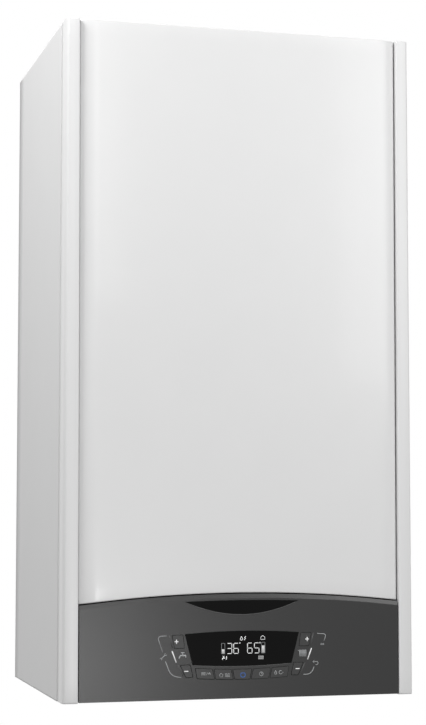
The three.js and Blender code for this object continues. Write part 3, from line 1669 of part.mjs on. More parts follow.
function pressureGauge() {
  const recess = gaugeFace + gaugeRecess;
  const body = turnedZ([
    [0, recess],
    [gaugeRadius - gaugeRim, recess],
    [gaugeRadius - gaugeRim, gaugeFace],
    [gaugeRadius, gaugeFace],
    [gaugeRadius, plateUnder - seatGap - gaugeFlangeThickness],
    [gaugeFlange, plateUnder - seatGap - gaugeFlangeThickness],
    [gaugeFlange, plateUnder - seatGap],
    [gaugeRadius, plateUnder - seatGap],
    [gaugeRadius, gaugeFace + gaugeLength],
    [0, gaugeFace + gaugeLength],
  ]);
  const reach = [0, groupFrontY - gaugeY - seatGap, 0];
  const across = [-(groupInside + 12) - gaugeX, reach[1], 0];
  const corners = [
    [0, 0, gaugeFace + gaugeLength - 1],
    [0, 0, capillaryHeight],
    [across[0], 0, capillaryHeight],
    [across[0], across[1], capillaryHeight],
  ];
  const capillary = pipe(corners, capillaryRadius, 3 * capillaryRadius, 6);
  return placed(piece("pressure_gauge", body.add(capillary), knobBlack), gaugeX, gaugeY, 0);
}

function gaugeNeedle() {
  const top = gaugeFace + gaugeRecess - seatGap;
  const hub = turnedZ(rod(needleHub, top - needleThickness, top), pipeSides);
  const blade = planPrism(
    outline([
      [-needleLength / 3, -needleWidth / 2],
      [needleLength, -needleWidth / 4],
      [needleLength, needleWidth / 4],
      [-needleLength / 3, needleWidth / 2],
    ]),
    top - needleThickness,
    needleThickness,
  );
  const start = THREE.MathUtils.degToRad(-135);
  const needle = piece("gauge_needle", hub.add(blade), knobRed);
  needle.rotation.z = start;
  return placed(needle, gaugeX, gaugeY, 0);
}

function gaugeLens() {
  const radius = gaugeRadius - gaugeRim - seatGap;
  const lens = turnedZ(rod(radius, gaugeFace, gaugeFace + gaugeLensThickness));
  return placed(piece("gauge_lens", lens, clearLens), gaugeX, gaugeY, 0);
}

function fittings() {
  const group = new THREE.Group();
  group.add(safetyValve(), safetyKnob(), fillingKnob(), pressureGauge(), gaugeNeedle(), gaugeLens());
  return group;
}

// ---------- the boiler, hung from its origin ----------
const boiler = new THREE.Group();
boiler.position.z = -hangHeight;
boiler.add(casing(), flue(), frontCasing(), controlPanel(), expansionVessel(), heatCell(), airPath());
boiler.add(gasLine(), condensateTrap(), waterGroups(), fittings());

export default boiler;
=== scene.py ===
"""A wall-hung combi boiler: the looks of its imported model.

Each sub-assembly is a class with its own sizes, and each finish says what the real surface is. Lengths in the classes
are millimetres above the casing's lower edge and from the wall; to_part() turns them into the part's metres.
"""

import logging
import math
from dataclasses import dataclass
from enum import Enum
from typing import Iterable, Sequence

import bmesh
import bpy
import numpy as np
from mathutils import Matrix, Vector


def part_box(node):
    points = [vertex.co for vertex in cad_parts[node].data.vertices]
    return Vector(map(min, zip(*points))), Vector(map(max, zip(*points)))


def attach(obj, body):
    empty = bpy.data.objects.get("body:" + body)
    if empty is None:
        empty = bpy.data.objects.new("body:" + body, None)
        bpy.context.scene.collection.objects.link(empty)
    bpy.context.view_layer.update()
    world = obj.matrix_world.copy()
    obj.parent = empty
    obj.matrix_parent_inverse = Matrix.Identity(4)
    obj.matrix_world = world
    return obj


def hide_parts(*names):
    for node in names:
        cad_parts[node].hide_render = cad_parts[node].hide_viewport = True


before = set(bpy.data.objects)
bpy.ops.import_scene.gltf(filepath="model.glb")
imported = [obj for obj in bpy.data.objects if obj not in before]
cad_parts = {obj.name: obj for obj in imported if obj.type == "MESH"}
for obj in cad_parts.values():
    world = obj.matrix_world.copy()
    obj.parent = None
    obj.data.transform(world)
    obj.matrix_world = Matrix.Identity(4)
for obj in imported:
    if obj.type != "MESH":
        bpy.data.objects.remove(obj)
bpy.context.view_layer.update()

LOG = logging.getLogger("boiler")
MM = 0.001
HANG_HEIGHT = 700.0  # hanging point above the casing's lower edge
Array = np.ndarray


# ---------------------------------------------------------------- colour and nodes
def linear(code: str, alpha: float = 1.0) -> tuple[float, float, float, float]:
    """Turns an sRGB hex colour into linear light.

    Args:
        code: Six hex digits, with or without a leading mark.
        alpha: Opacity to add as the fourth value.

    Returns:
        Red, green, blue and alpha.
    """
    digits = code.lstrip("#")
    srgb = np.array([int(digits[i : i + 2], 16) for i in (0, 2, 4)]) / 255.0
    light = np.where(srgb <= 0.04045, srgb / 12.92, ((srgb + 0.055) / 1.055) ** 2.4)
    return (*(float(value) for value in light), alpha)


def put(tree: bpy.types.NodeTree, kind: str, inputs: dict | None = None, **settings: object) -> bpy.types.Node:
    """Adds a node with its settings and links.

    Args:
        tree: Node tree that gets the node.
        kind: Blender's name of the node type.
        inputs: Socket name or number, to a value or to an output socket to link from.
        settings: Attributes of the node itself.

    Returns:
        The new node.
    """
    node = tree.nodes.new(kind)
    for key, value in settings.items():
        setattr(node, key, value)
    for key, value in (inputs or {}).items():
        if isinstance(value, bpy.types.NodeSocket):
            tree.links.new(value, node.inputs[key])
        else:
            node.inputs[key].default_value = value
    return node


class Grain(Enum):
    """The small relief that a surface's making leaves on it."""

    PEEL = "orange peel of sprayed powder"
    SPARK = "spark-eroded mould texture"
    SMOOTH = "polished, with a faint waviness"
    SPANGLE = "zinc crystals"
    CAST = "skin of a casting"
    DRAWN_Z = "drawing lines along a vertical pipe"
    BRUSHED_X = "brushed lines across the piece"
    CRUMB = "foam crumbs"


@dataclass(frozen=True)
class Finish:
    """One real surface finish and the material made from it.

    Fields are its plain name, its sRGB colour and the colour of its variation, the share of that variation, roughness
    and how far it wanders, metallic, IOR, the grain's kind, spacing and depth in millimetres, and an optional coat.
    """

    name: str
    colour: str
    second: str
    roughness: float
    grain: Grain
    spacing: float
    depth: float
    spread: float = 0.3
    wander: float = 0.06
    metallic: float = 0.0
    ior: float = 1.5
    coat: float = 0.0
    blotch: float = 60.0
    alpha: float = 1.0
    transmission: float = 0.0
    glow: float = 0.0

    def height(self, tree: bpy.types.NodeTree, place: bpy.types.NodeSocket) -> bpy.types.NodeSocket:
        """Makes the grain's height field.

        Args:
            tree: The material's node tree.
            place: Object coordinates, in metres.

        Returns:
            A socket with the height, 0 to 1.
        """
        scale = 1.0 / (self.spacing * MM)
        stretch = {Grain.DRAWN_Z: (1.0, 1.0, 0.04), Grain.BRUSHED_X: (0.03, 1.0, 1.0)}.get(self.grain, (1.0, 1.0, 1.0))
        mapped = put(tree, "ShaderNodeMapping", {"Vector": place, "Scale": Vector(stretch) * scale})
        if self.grain in (Grain.SPANGLE, Grain.CRUMB):
            cells = put(tree, "ShaderNodeTexVoronoi", {"Vector": mapped.outputs[0], "Scale": 1.0, "Randomness": 1.0})
            return cells.outputs["Distance" if self.grain is Grain.CRUMB else "Color"]
        detail = {Grain.PEEL: 1.5, Grain.SPARK: 3.0, Grain.SMOOTH: 0.5, Grain.CAST: 5.0}.get(self.grain, 2.0)
        noise = put(
            tree, "ShaderNodeTexNoise", {"Vector": mapped.outputs[0], "Scale": 1.0, "Detail": detail, "Roughness": 0.55}
        )
        return noise.outputs["Fac"]

    def build(self) -> bpy.types.Material:
        """Makes the material once, and returns it again after that."""
        made = bpy.data.materials.get(self.name)
        if made:
            return made
        material = bpy.data.materials.new(self.name)
        material.use_nodes = True
        tree = material.node_tree
        tree.nodes.clear()
        place = put(tree, "ShaderNodeTexCoord").outputs["Object"]
        height = self.height(tree, place)
        cloud = put(
            tree, "ShaderNodeTexNoise", {"Vector": place, "Scale": 1.0 / (self.blotch * MM), "Detail": 3.0}
        ).outputs["Fac"]
        share = put(
            tree,
            "ShaderNodeMapRange",
            {"Value": cloud, "From Min": 0.3, "From Max": 0.7, "To Min": 0.0, "To Max": self.spread},
        ).outputs[0]
        if self.grain is Grain.SPANGLE:
            share = put(
                tree, "ShaderNodeMapRange", {"Value": height, "To Min": 0.0, "To Max": self.spread}
            ).outputs[0]
        colour = put(
            tree,
            "ShaderNodeMix",
            {"Factor": share, "A": linear(self.colour), "B": linear(self.second)},
            data_type="RGBA",
        )
        rough = put(
            tree,
            "ShaderNodeMapRange",
            {
                "Value": cloud,
                "From Min": 0.25,
                "From Max": 0.75,
                "To Min": max(self.roughness - self.wander, 0.02),
                "To Max": self.roughness + self.wander,
            },
        )
        bump = put(tree, "ShaderNodeBump", {"Strength": 1.0, "Distance": self.depth * MM, "Height": height})
        shader = put(
            tree,
            "ShaderNodeBsdfPrincipled",
            {
                "Base Color": colour.outputs["Result"],
                "Roughness": rough.outputs[0],
                "Metallic": self.metallic,
                "IOR": self.ior,
                "Coat Weight": self.coat,
                "Coat Roughness": 0.08,
                "Normal": bump.outputs[0],
                "Alpha": self.alpha,
                "Transmission Weight": self.transmission,
                "Emission Color": linear(self.colour),
                "Emission Strength": self.glow,
            },
        )
        put(tree, "ShaderNodeOutputMaterial", {"Surface": shader.outputs[0]})
        return material


# ---------------------------------------------------------------- finishes
# Polyester powder coat on steel sheet, sprayed and baked: even white with a soft gloss and a faint orange peel.
DOOR_POWDER = Finish("white powder coat", "e5e5e5", "e1e1e1", 0.3, Grain.PEEL, 2.6, 0.012, wander=0.0, coat=0.2)
# The same powder in its satin grade, which the side panels have; its colour is drawn a shade darker than the door's, as
# painted shade.
SATIN_POWDER_SHADED = Finish("satin powder coat with painted shade", "dcdcdc", "d8d8d8", 0.5, Grain.PEEL, 2.4, 0.014, wander=0.0)
# White moulded ABS of the edge rails: a touch glossier than the sheet beside it.
RAIL_ABS = Finish("white moulded abs", "e4e4e4", "e2e2e2", 0.32, Grain.SPARK, 1.6, 0.008, wander=0.0)
# Anthracite moulded ABS with a fine spark texture, which spreads highlights into a wide soft sheen.
FASCIA_ABS = Finish("anthracite moulded abs", "1e1e1e", "1c1c1c", 0.27, Grain.SPARK, 1.1, 0.01, wander=0.0, ior=1.45)
# The keys come from the same plastic, drawn a shade lighter than the fascia.
KEY_ABS = Finish("anthracite key abs", "292929", "252525", 0.3, Grain.SPARK, 0.9, 0.008, wander=0.03, ior=1.44)
# Black tinted acrylic, polished: deep black with a thin sharp reflection.
BLACK_ACRYLIC = Finish(
    "black tinted acrylic", "0e0e0e", "0b0b0b", 0.1, Grain.SMOOTH, 22.0, 0.006, wander=0.02, ior=1.16
)
# Hot-dip zinc on steel sheet: grey with pale crystals a centimetre across.
ZINC_SHEET = Finish(
    "galvanised sheet", "8f9496", "b2b7b9", 0.42, Grain.SPANGLE, 9.0, 0.01, spread=0.7, metallic=1.0, wander=0.1
)
# Black glass-filled nylon and ABS mouldings inside the casing.
DARK_NYLON = Finish("black moulded nylon", "222325", "2a2b2d", 0.55, Grain.SPARK, 1.2, 0.02)
# Grey polypropylene of the flue and the trap.
GREY_POLYPROPYLENE = Finish("grey polypropylene", "a9adaf", "9ea2a5", 0.48, Grain.SMOOTH, 8.0, 0.02)
# Green solder mask over copper tracks.
SOLDER_MASK = Finish("green solder mask", "1c5335", "2a6a45", 0.3, Grain.BRUSHED_X, 2.4, 0.03, spread=0.8, blotch=6.0)
# Red stoving enamel on the deep-drawn expansion vessel.
RED_ENAMEL = Finish("red stoving enamel", "9c211b", "8c1b17", 0.33, Grain.PEEL, 3.0, 0.02, coat=0.2)
# Die-cast aluminium, left as it comes from the mould.
CAST_ALUMINIUM = Finish(
    "die-cast aluminium", "9fa3a5", "8b8f92", 0.5, Grain.CAST, 3.2, 0.08, metallic=1.0, wander=0.12, spread=0.6
)
# Cold-rolled stainless steel sheet and tube with its fine rolling lines.
STAINLESS = Finish(
    "rolled stainless steel", "b3b6b8", "a2a5a8", 0.27, Grain.BRUSHED_X, 0.9, 0.006, metallic=1.0, spread=0.5
)
# Drawn copper tube, a little browned by handling.
COPPER_TUBE = Finish(
    "drawn copper tube", "b06a4a", "8c4e37", 0.3, Grain.DRAWN_Z, 1.1, 0.01, metallic=1.0, spread=0.6, wander=0.1
)
# Forged brass, shot-blasted before machining.
FORGED_BRASS = Finish(
    "forged brass", "a88b4c", "8f743d", 0.42, Grain.CAST, 1.6, 0.04, metallic=1.0, spread=0.5, wander=0.1
)
# Steel gas pipe in a yellow chromate finish, with its rainbow brown blotches.
CHROMATE_STEEL = Finish(
    "yellow chromate steel", "b8a04f", "94743c", 0.36, Grain.DRAWN_Z, 1.4, 0.01, metallic=1.0, spread=0.8, blotch=24.0
)
# EPDM rubber of gaskets and grommets.
EPDM_RUBBER = Finish("black epdm rubber", "1a1a1b", "222223", 0.75, Grain.SPARK, 1.4, 0.03)
# Glazed steatite body of the electrode.
STEATITE = Finish("glazed steatite", "e9e4d8", "ded8ca", 0.25, Grain.SMOOTH, 5.0, 0.01, coat=0.3)
# Black paint on cast aluminium motor housings.
MOTOR_PAINT = Finish("black motor paint", "25282c", "2e3236", 0.45, Grain.CAST, 2.2, 0.05)
# Red acetal of the safety valve's knob and the gauge needle.
RED_ACETAL = Finish("red acetal", "b3201b", "a01b17", 0.38, Grain.SPARK, 1.0, 0.01)
# Black acetal of the filling knob and the gauge's body.
BLACK_ACETAL = Finish("black acetal", "17181a", "1e1f21", 0.42, Grain.SPARK, 1.0, 0.012)
# Clear acrylic of the gauge's window.
CLEAR_ACRYLIC = Finish(
    "clear acrylic", "f2f6f7", "eef3f4", 0.05, Grain.SMOOTH, 15.0, 0.004, wander=0.02, transmission=1.0
)
# Pad-printed white ink on the keys and the panel, with a glow: on the light bars it stands for their backlight, on the
# printed plus and minus marks it is a painted glow.
WHITE_INK_AND_GLOW = Finish("white pad print and glow", "e8e8e8", "dcdcdc", 0.5, Grain.SPARK, 0.8, 0.004, glow=0.25)
# The same ink where it is printed thin and reads as grey.
GREY_INK = Finish("grey pad print", "b4b6b7", "a6a8aa", 0.5, Grain.SPARK, 0.8, 0.004)
# Lit segments of the liquid crystal display behind the window.
LIT_SEGMENT = Finish("lit display segment", "dfe0e0", "d2d4d4", 0.4, Grain.SMOOTH, 3.0, 0.002, glow=0.65)
# Segments of the level bars, which a fine raster keeps at part of the light.
HALF_SEGMENT = Finish("half lit segment", "b4b4b4", "a8a8a8", 0.4, Grain.SMOOTH, 3.0, 0.002, glow=0.4)
# Blue light behind the on and off mark.
BLUE_LIGHT = Finish("blue lit mark", "264f8c", "234985", 0.4, Grain.SMOOTH, 3.0, 0.002, glow=0.3)
# Grey light guide of the two level bars where it isn't lit.
UNLIT_BAR = Finish("grey light guide", "484848", "444444", 0.35, Grain.SMOOTH, 3.0, 0.002, ior=1.44)
# Painted highlights on the fascia's rounded edges: its own plastic drawn a shade lighter where the edges turn to the
# light.
EDGE_HIGHLIGHT_PAINT = Finish("painted edge highlight", "4c4c4c", "484848", 0.3, Grain.SPARK, 0.9, 0.004, ior=1.44)
# Dim segments, which a display shows half on.
DIM_SEGMENT = Finish("dim display segment", "6f7172", "666869", 0.4, Grain.SMOOTH, 3.0, 0.002, glow=0.3)
# Zinc-plated screws and clips, bright and slightly blue.
ZINC_SCREW = Finish("blue zinc plating", "b6bcc2", "a3a9b0", 0.25, Grain.SMOOTH, 2.0, 0.004, metallic=1.0)
# Grey foam mat behind the front door, with its open cells.
GREY_FOAM = Finish("grey melamine foam", "77797b", "68696c", 0.9, Grain.CRUMB, 2.2, 0.25, spread=0.6, blotch=9.0)
# White enamelled dial of the pressure gauge.
DIAL_WHITE = Finish("white dial enamel", "eceded", "e4e5e6", 0.4, Grain.PEEL, 2.0, 0.004)
# Red silicone jacket of the spark lead.
RED_SILICONE = Finish("red silicone jacket", "a02c22", "8f261e", 0.42, Grain.SMOOTH, 6.0, 0.01)
# Natural white nylon of plugs.
WHITE_NYLON = Finish("natural white nylon", "d9d7cf", "cecbc1", 0.45, Grain.SPARK, 1.2, 0.01)
# Black dial print.
BLACK_INK = Finish("black pad print", "141415", "1c1c1d", 0.5, Grain.SPARK, 0.8, 0.004)


# ---------------------------------------------------------------- meshes
def to_part(points: Array) -> Array:
    """Turns casing millimetres into the part's metres: the hanging height comes off z, then all scale by 0.001."""
    return (np.asarray(points, float) - (0.0, 0.0, HANG_HEIGHT)) * MM


def grid_faces(rows: int, columns: int, wrap_rows: bool = False, wrap_columns: bool = False) -> Array:
    """Numbers the quads of a grid of vertices, row by row.

    Args:
        rows: Rows of vertices.
        columns: Columns of vertices.
        wrap_rows: The last row joins the first.
        wrap_columns: The last column joins the first.

    Returns:
        An array of four vertex numbers for each quad.
    """
    r = np.arange(rows if wrap_rows else rows - 1)[:, None]
    c = np.arange(columns if wrap_columns else columns - 1)[None, :]
    r2, c2 = (r + 1) % rows, (c + 1) % columns
    corners = (r * columns + c, r * columns + c2, r2 * columns + c2, r2 * columns + c)
    return np.stack(np.broadcast_arrays(*corners), axis=-1).reshape(-1, 4)


def make_piece(
    name: str,
    points: Array,
    faces: Sequence[Sequence[int]],
    finish: Finish,
    body: str,
    sharp: float = 35.0,
    recalculate: bool = True,
) -> bpy.types.Object:
    """Makes a mesh object from casing millimetres, dresses it and lets it ride on a body.

    Args:
        name: Name of the piece.
        points: Vertices, any shape that ends in three coordinates.
        faces: Vertex numbers of each face.
        finish: Finish of the piece.
        body: CAD body that carries it.
        sharp: Edges bent by more than this many degrees stay sharp.
        recalculate: Turn all faces outwards.

    Returns:
        The new object.
    """
    mesh = bpy.data.meshes.new(name)
    mesh.from_pydata(to_part(points).reshape(-1, 3).tolist(), [], [list(map(int, face)) for face in faces])
    mesh.update()
    work = bmesh.new()
    work.from_mesh(mesh)
    bmesh.ops.remove_doubles(work, verts=work.verts, dist=2e-6)
    bmesh.ops.dissolve_degenerate(work, edges=work.edges, dist=1e-6)
    if recalculate:
        bmesh.ops.recalc_face_normals(work, faces=work.faces)
    work.to_mesh(mesh)
    work.free()
    mesh.polygons.foreach_set("use_smooth", np.ones(len(mesh.polygons), bool))
    mesh.set_sharp_from_angle(angle=math.radians(sharp))
    mesh.materials.append(finish.build())
    piece = bpy.data.objects.new(name, mesh)
    bpy.context.scene.collection.objects.link(piece)
    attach(piece, body)
    return piece


def sheet_piece(name: str, grid: Array, thickness: float, finish: Finish, body: str) -> bpy.types.Object:
    """Makes a sheet from a grid of points on its outer skin and gives it its thickness inwards.

    Args:
        name: Name of the piece.
        grid: Rows by columns by three, ordered so that the skin's faces point outwards.
        thickness: Sheet thickness.
        finish: Finish of the piece.
        body: CAD body that carries it.

    Returns:
        The new object.
    """
    rows, columns = grid.shape[:2]
    piece = make_piece(name, grid, grid_faces(rows, columns), finish, body, recalculate=False)
    wall = piece.modifiers.new("wall", "SOLIDIFY")
    wall.thickness = thickness * MM
    wall.offset = -1.0
    wall.use_even_offset = False
    return piece


def turned_piece(
    name: str,
    profile: Sequence[Sequence[float]],
    centre: Sequence[float],
    axis: str,
    finish: Finish,
    body: str,
    sides: int = 48,
    closed: bool = False,
) -> bpy.types.Object:
    """Turns a profile round an axis: each point (r, h) becomes a ring of radius r at height h along the axis.

    Args:
        name: Name of the piece.
        profile: Radius and height of each point, from one end to the other.
        centre: Where height 0 lies, in casing millimetres.
        axis: X, Y or Z.
        finish: Finish of the piece.
        body: CAD body that carries it.
        sides: Points round the axis.
        closed: The profile's last point joins its first, as on a ring.

    Returns:
        The new object.
    """
    radius, height = np.asarray(profile, float).T
    turn = np.linspace(0.0, 2.0 * math.pi, sides, endpoint=False)
    across = radius[:, None] * np.cos(turn)
    along = radius[:, None] * np.sin(turn)
    level = np.broadcast_to(height[:, None], across.shape)
    order = {"X": (level, across, along), "Y": (along, level, across), "Z": (across, along, level)}[axis]
    points = np.stack(order, axis=-1) + np.asarray(centre, float)
    faces = grid_faces(len(radius), sides, wrap_rows=closed, wrap_columns=True)
    return make_piece(name, points, faces, finish, body)


def tube_points(path: Array, section: Array) -> Array:
    """Carries a closed section along a path: at each station the section lies in the plane square to the path.

    Args:
        path: Stations, n by 3.
        section: Section points, m by 2, or n by m by 2 where the section changes.

    Returns:
        Rings of points, n by m by 3.
    """
    tangent = np.gradient(path, axis=0)
    tangent /= np.linalg.norm(tangent, axis=1, keepdims=True)
    guide = np.array([0.317, 0.571, 0.757])
    first = guide - (tangent @ guide)[:, None] * tangent
    first /= np.linalg.norm(first, axis=1, keepdims=True)
    second = np.cross(tangent, first)
    section = np.broadcast_to(section, (len(path), *section.shape[-2:]))
    return path[:, None, :] + section[..., :1] * first[:, None, :] + section[..., 1:] * second[:, None, :]


def ring_section(radius: float, sides: int) -> Array:
    """A circle of the given radius as section points."""
    turn = np.linspace(0.0, 2.0 * math.pi, sides, endpoint=False)
    return radius * np.stack([np.cos(turn), np.sin(turn)], axis=-1)


def bent_path(corners: Sequence[Sequence[float]], bend: float, steps: int = 8) -> Array:
    """Joins corners by straight runs and round bends of one radius.

    Each bend is an arc that touches both runs: it starts bend * tan(half the turn) before the corner.

    Args:
        corners: Corner points.
        bend: Bend radius.
        steps: Stations in each bend.

    Returns:
        Stations along the path.
    """
    points = np.asarray(corners, float)
    stations = [points[:1]]
    for before, corner, after in zip(points[:-2], points[1:-1], points[2:]):
        inward = (corner - before) / np.linalg.norm(corner - before)
        outward = (after - corner) / np.linalg.norm(after - corner)
        turn = math.acos(float(np.clip(inward @ outward, -1.0, 1.0)))
        side = outward - inward * float(inward @ outward)
        side /= np.linalg.norm(side)
        start = corner - inward * bend * math.tan(turn / 2.0)
        angle = np.linspace(0.0, turn, steps)[:, None]
        stations.append(start + side * bend * (1.0 - np.cos(angle)) + inward * bend * np.sin(angle))
    stations.append(points[-1:])
    return np.concatenate(stations)


def tube_piece(
    name: str, path: Array, radius: float, finish: Finish, body: str, sides: int = 24
) -> bpy.types.Object:
    """Makes a closed round tube along a path.

    Args:
        name: Name of the piece.
        path: Stations, n by 3.
        radius: Tube radius.
        finish: Finish of the piece.
        body: CAD body that carries it.
        sides: Points round the tube.

    Returns:
        The new object.
    """
    points = tube_points(path, ring_section(radius, sides))
    count = len(path)
    faces = [*grid_faces(count, sides, wrap_columns=True), range(sides - 1, -1, -1)]
    faces.append(range((count - 1) * sides, count * sides))
    return make_piece(name, points, faces, finish, body)


def dress(finish: Finish, *nodes: str) -> None:
    """Gives CAD nodes a finish.

    Args:
        finish: The finish.
        nodes: Names of the CAD nodes.
    """
    for name in nodes:
        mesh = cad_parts[name].data
        mesh.materials.clear()
        mesh.materials.append(finish.build())


def softened(
    node: str, finish: Finish, width: float, body: str, segments: int = 2, crease: float = 40.0
) -> bpy.types.Object:
    """Stands in for a CAD node with a merged copy whose edges are rounded as a moulding's or casting's are.

    Args:
        node: CAD node to copy and replace.
        finish: Finish of the copy.
        width: Width of the rounding.
        body: CAD body that carries it.
        segments: Steps in the rounding.
        crease: Smallest angle in degrees that stays a crisp edge.

    Returns:
        The new object.
    """
    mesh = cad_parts[node].data.copy()
    work = bmesh.new()
    work.from_mesh(mesh)
    bmesh.ops.remove_doubles(work, verts=work.verts, dist=1e-6)
    bmesh.ops.dissolve_limit(work, angle_limit=math.radians(0.6), verts=work.verts, edges=work.edges)
    work.to_mesh(mesh)
    work.free()
    mesh.polygons.foreach_set("use_smooth", np.ones(len(mesh.polygons), bool))
    mesh.set_sharp_from_angle(angle=math.radians(crease))
    mesh.materials.clear()
    mesh.materials.append(finish.build())
    piece = bpy.data.objects.new(node + "_soft", mesh)
    bpy.context.scene.collection.objects.link(piece)
    edge = piece.modifiers.new("edge", "BEVEL")
    edge.width = width * MM
    edge.segments = segments
    edge.limit_method = "ANGLE"
    edge.angle_limit = math.radians(40.0)
    edge.harden_normals = True
    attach(piece, body)
    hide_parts(node)
    return piece


# ---------------------------------------------------------------- printed marks
class Print:
    """Marks printed on a face that looks towards the front: thin strips of ink in the plane of the face."""

    def __init__(self, face: float) -> None:
        """Starts an empty print.

        Args:
            face: Distance of the face from the wall plane, as y.
        """
        self.face = face
        self.points: list[Array] = []
        self.faces: list[Array] = []
        self.count = 0

    def stroke(self, line: Sequence[Sequence[float]], width: float, closed: bool = False) -> "Print":
        """Adds one line of ink: each point goes half the width to both sides, square to the line.

        Args:
            line: Points (x, z) along the middle of the line.
            width: Width of the line.
            closed: Join the last point to the first.

        Returns:
            The print itself.
        """
        middle = np.asarray(line, float)
        if closed:
            ahead, behind = np.roll(middle, -1, axis=0), np.roll(middle, 1, axis=0)
        else:
            ahead = np.concatenate([middle[1:], middle[-1:]])
            behind = np.concatenate([middle[:1], middle[:-1]])
        run = ahead - behind
        run /= np.maximum(np.linalg.norm(run, axis=1, keepdims=True), 1e-9)
        side = np.stack([-run[:, 1], run[:, 0]], axis=-1) * width / 2.0
        flat = np.stack([middle + side, middle - side])
        return self.patch(flat, closed)

    def patch(self, flat: Array, closed: bool = False) -> "Print":
        """Adds a grid of ink in the plane of the face.

        Args:
            flat: Rows by columns by (x, z).
            closed: The last column joins the first.

        Returns:
            The print itself.
        """
        rows, columns = flat.shape[:2]
        level = np.full((rows, columns), self.face)
        self.points.append(np.stack([flat[..., 0], level, flat[..., 1]], axis=-1).reshape(-1, 3))
        self.faces.append(grid_faces(rows, columns, wrap_columns=closed) + self.count)
        self.count += rows * columns
        return self

    def disc(self, centre: Sequence[float], radius: float, inner: float = 0.0) -> "Print":
        """Adds a round dot of ink, or a ring where inner is above zero."""
        turn = np.linspace(0.0, 2.0 * math.pi, 28, endpoint=False)
        circle = np.stack([np.cos(turn), np.sin(turn)], axis=-1)
        rings = np.stack([circle * radius, circle * inner]) + np.asarray(centre, float)
        return self.patch(rings, closed=True)

    def box(self, x0: float, x1: float, z0: float, z1: float) -> "Print":
        """Adds a filled rectangle of ink."""
        return self.patch(np.array([[[x0, z1], [x1, z1]], [[x0, z0], [x1, z0]]], float))

    def frame_box(self, x0: float, x1: float, z0: float, z1: float, width: float) -> "Print":
        """Adds the outline of a rectangle."""
        self.box(x0, x1, z1 - width, z1).box(x0, x1, z0, z0 + width)
        return self.box(x0, x0 + width, z0, z1).box(x1 - width, x1, z0, z1)

    def finish(self, name: str, finish: Finish, body: str, raised: float = 0.05) -> bpy.types.Object:
        """Makes the print one piece.

        Args:
            name: Name of the piece.
            finish: Ink or light.
            body: CAD body that carries it.
            raised: Thickness of the ink towards the front.

        Returns:
            The new object.
        """
        points, faces = np.concatenate(self.points), np.concatenate(self.faces)
        piece = make_piece(name, points, faces, finish, body, recalculate=True)
        ink = piece.modifiers.new("ink", "SOLIDIFY")
        ink.thickness = raised * MM
        ink.offset = 0.0
        return piece


def arc(centre: Sequence[float], radius: float, start: float, end: float, steps: int = 14) -> Array:
    """Points of a circular arc, with angles in degrees from the x axis."""
    turn = np.radians(np.linspace(start, end, steps))
    return np.asarray(centre, float) + radius * np.stack([np.cos(turn), np.sin(turn)], axis=-1)


def rounded(corners: Sequence[Sequence[float]], radius: float, steps: int = 6) -> Array:
    """Points (x, z) of an open line whose inner corners are rounded by quadratic curves."""
    points = np.asarray(corners, float)
    parts = [points[:1]]
    t = np.linspace(0.0, 1.0, steps)[:, None]
    for before, corner, after in zip(points[:-2], points[1:-1], points[2:]):
        a = corner + (before - corner) / np.linalg.norm(before - corner) * radius
        b = corner + (after - corner) / np.linalg.norm(after - corner) * radius
        parts.append((1 - t) ** 2 * a + 2 * t * (1 - t) * corner + t**2 * b)
    parts.append(points[-1:])
    return np.concatenate(parts)


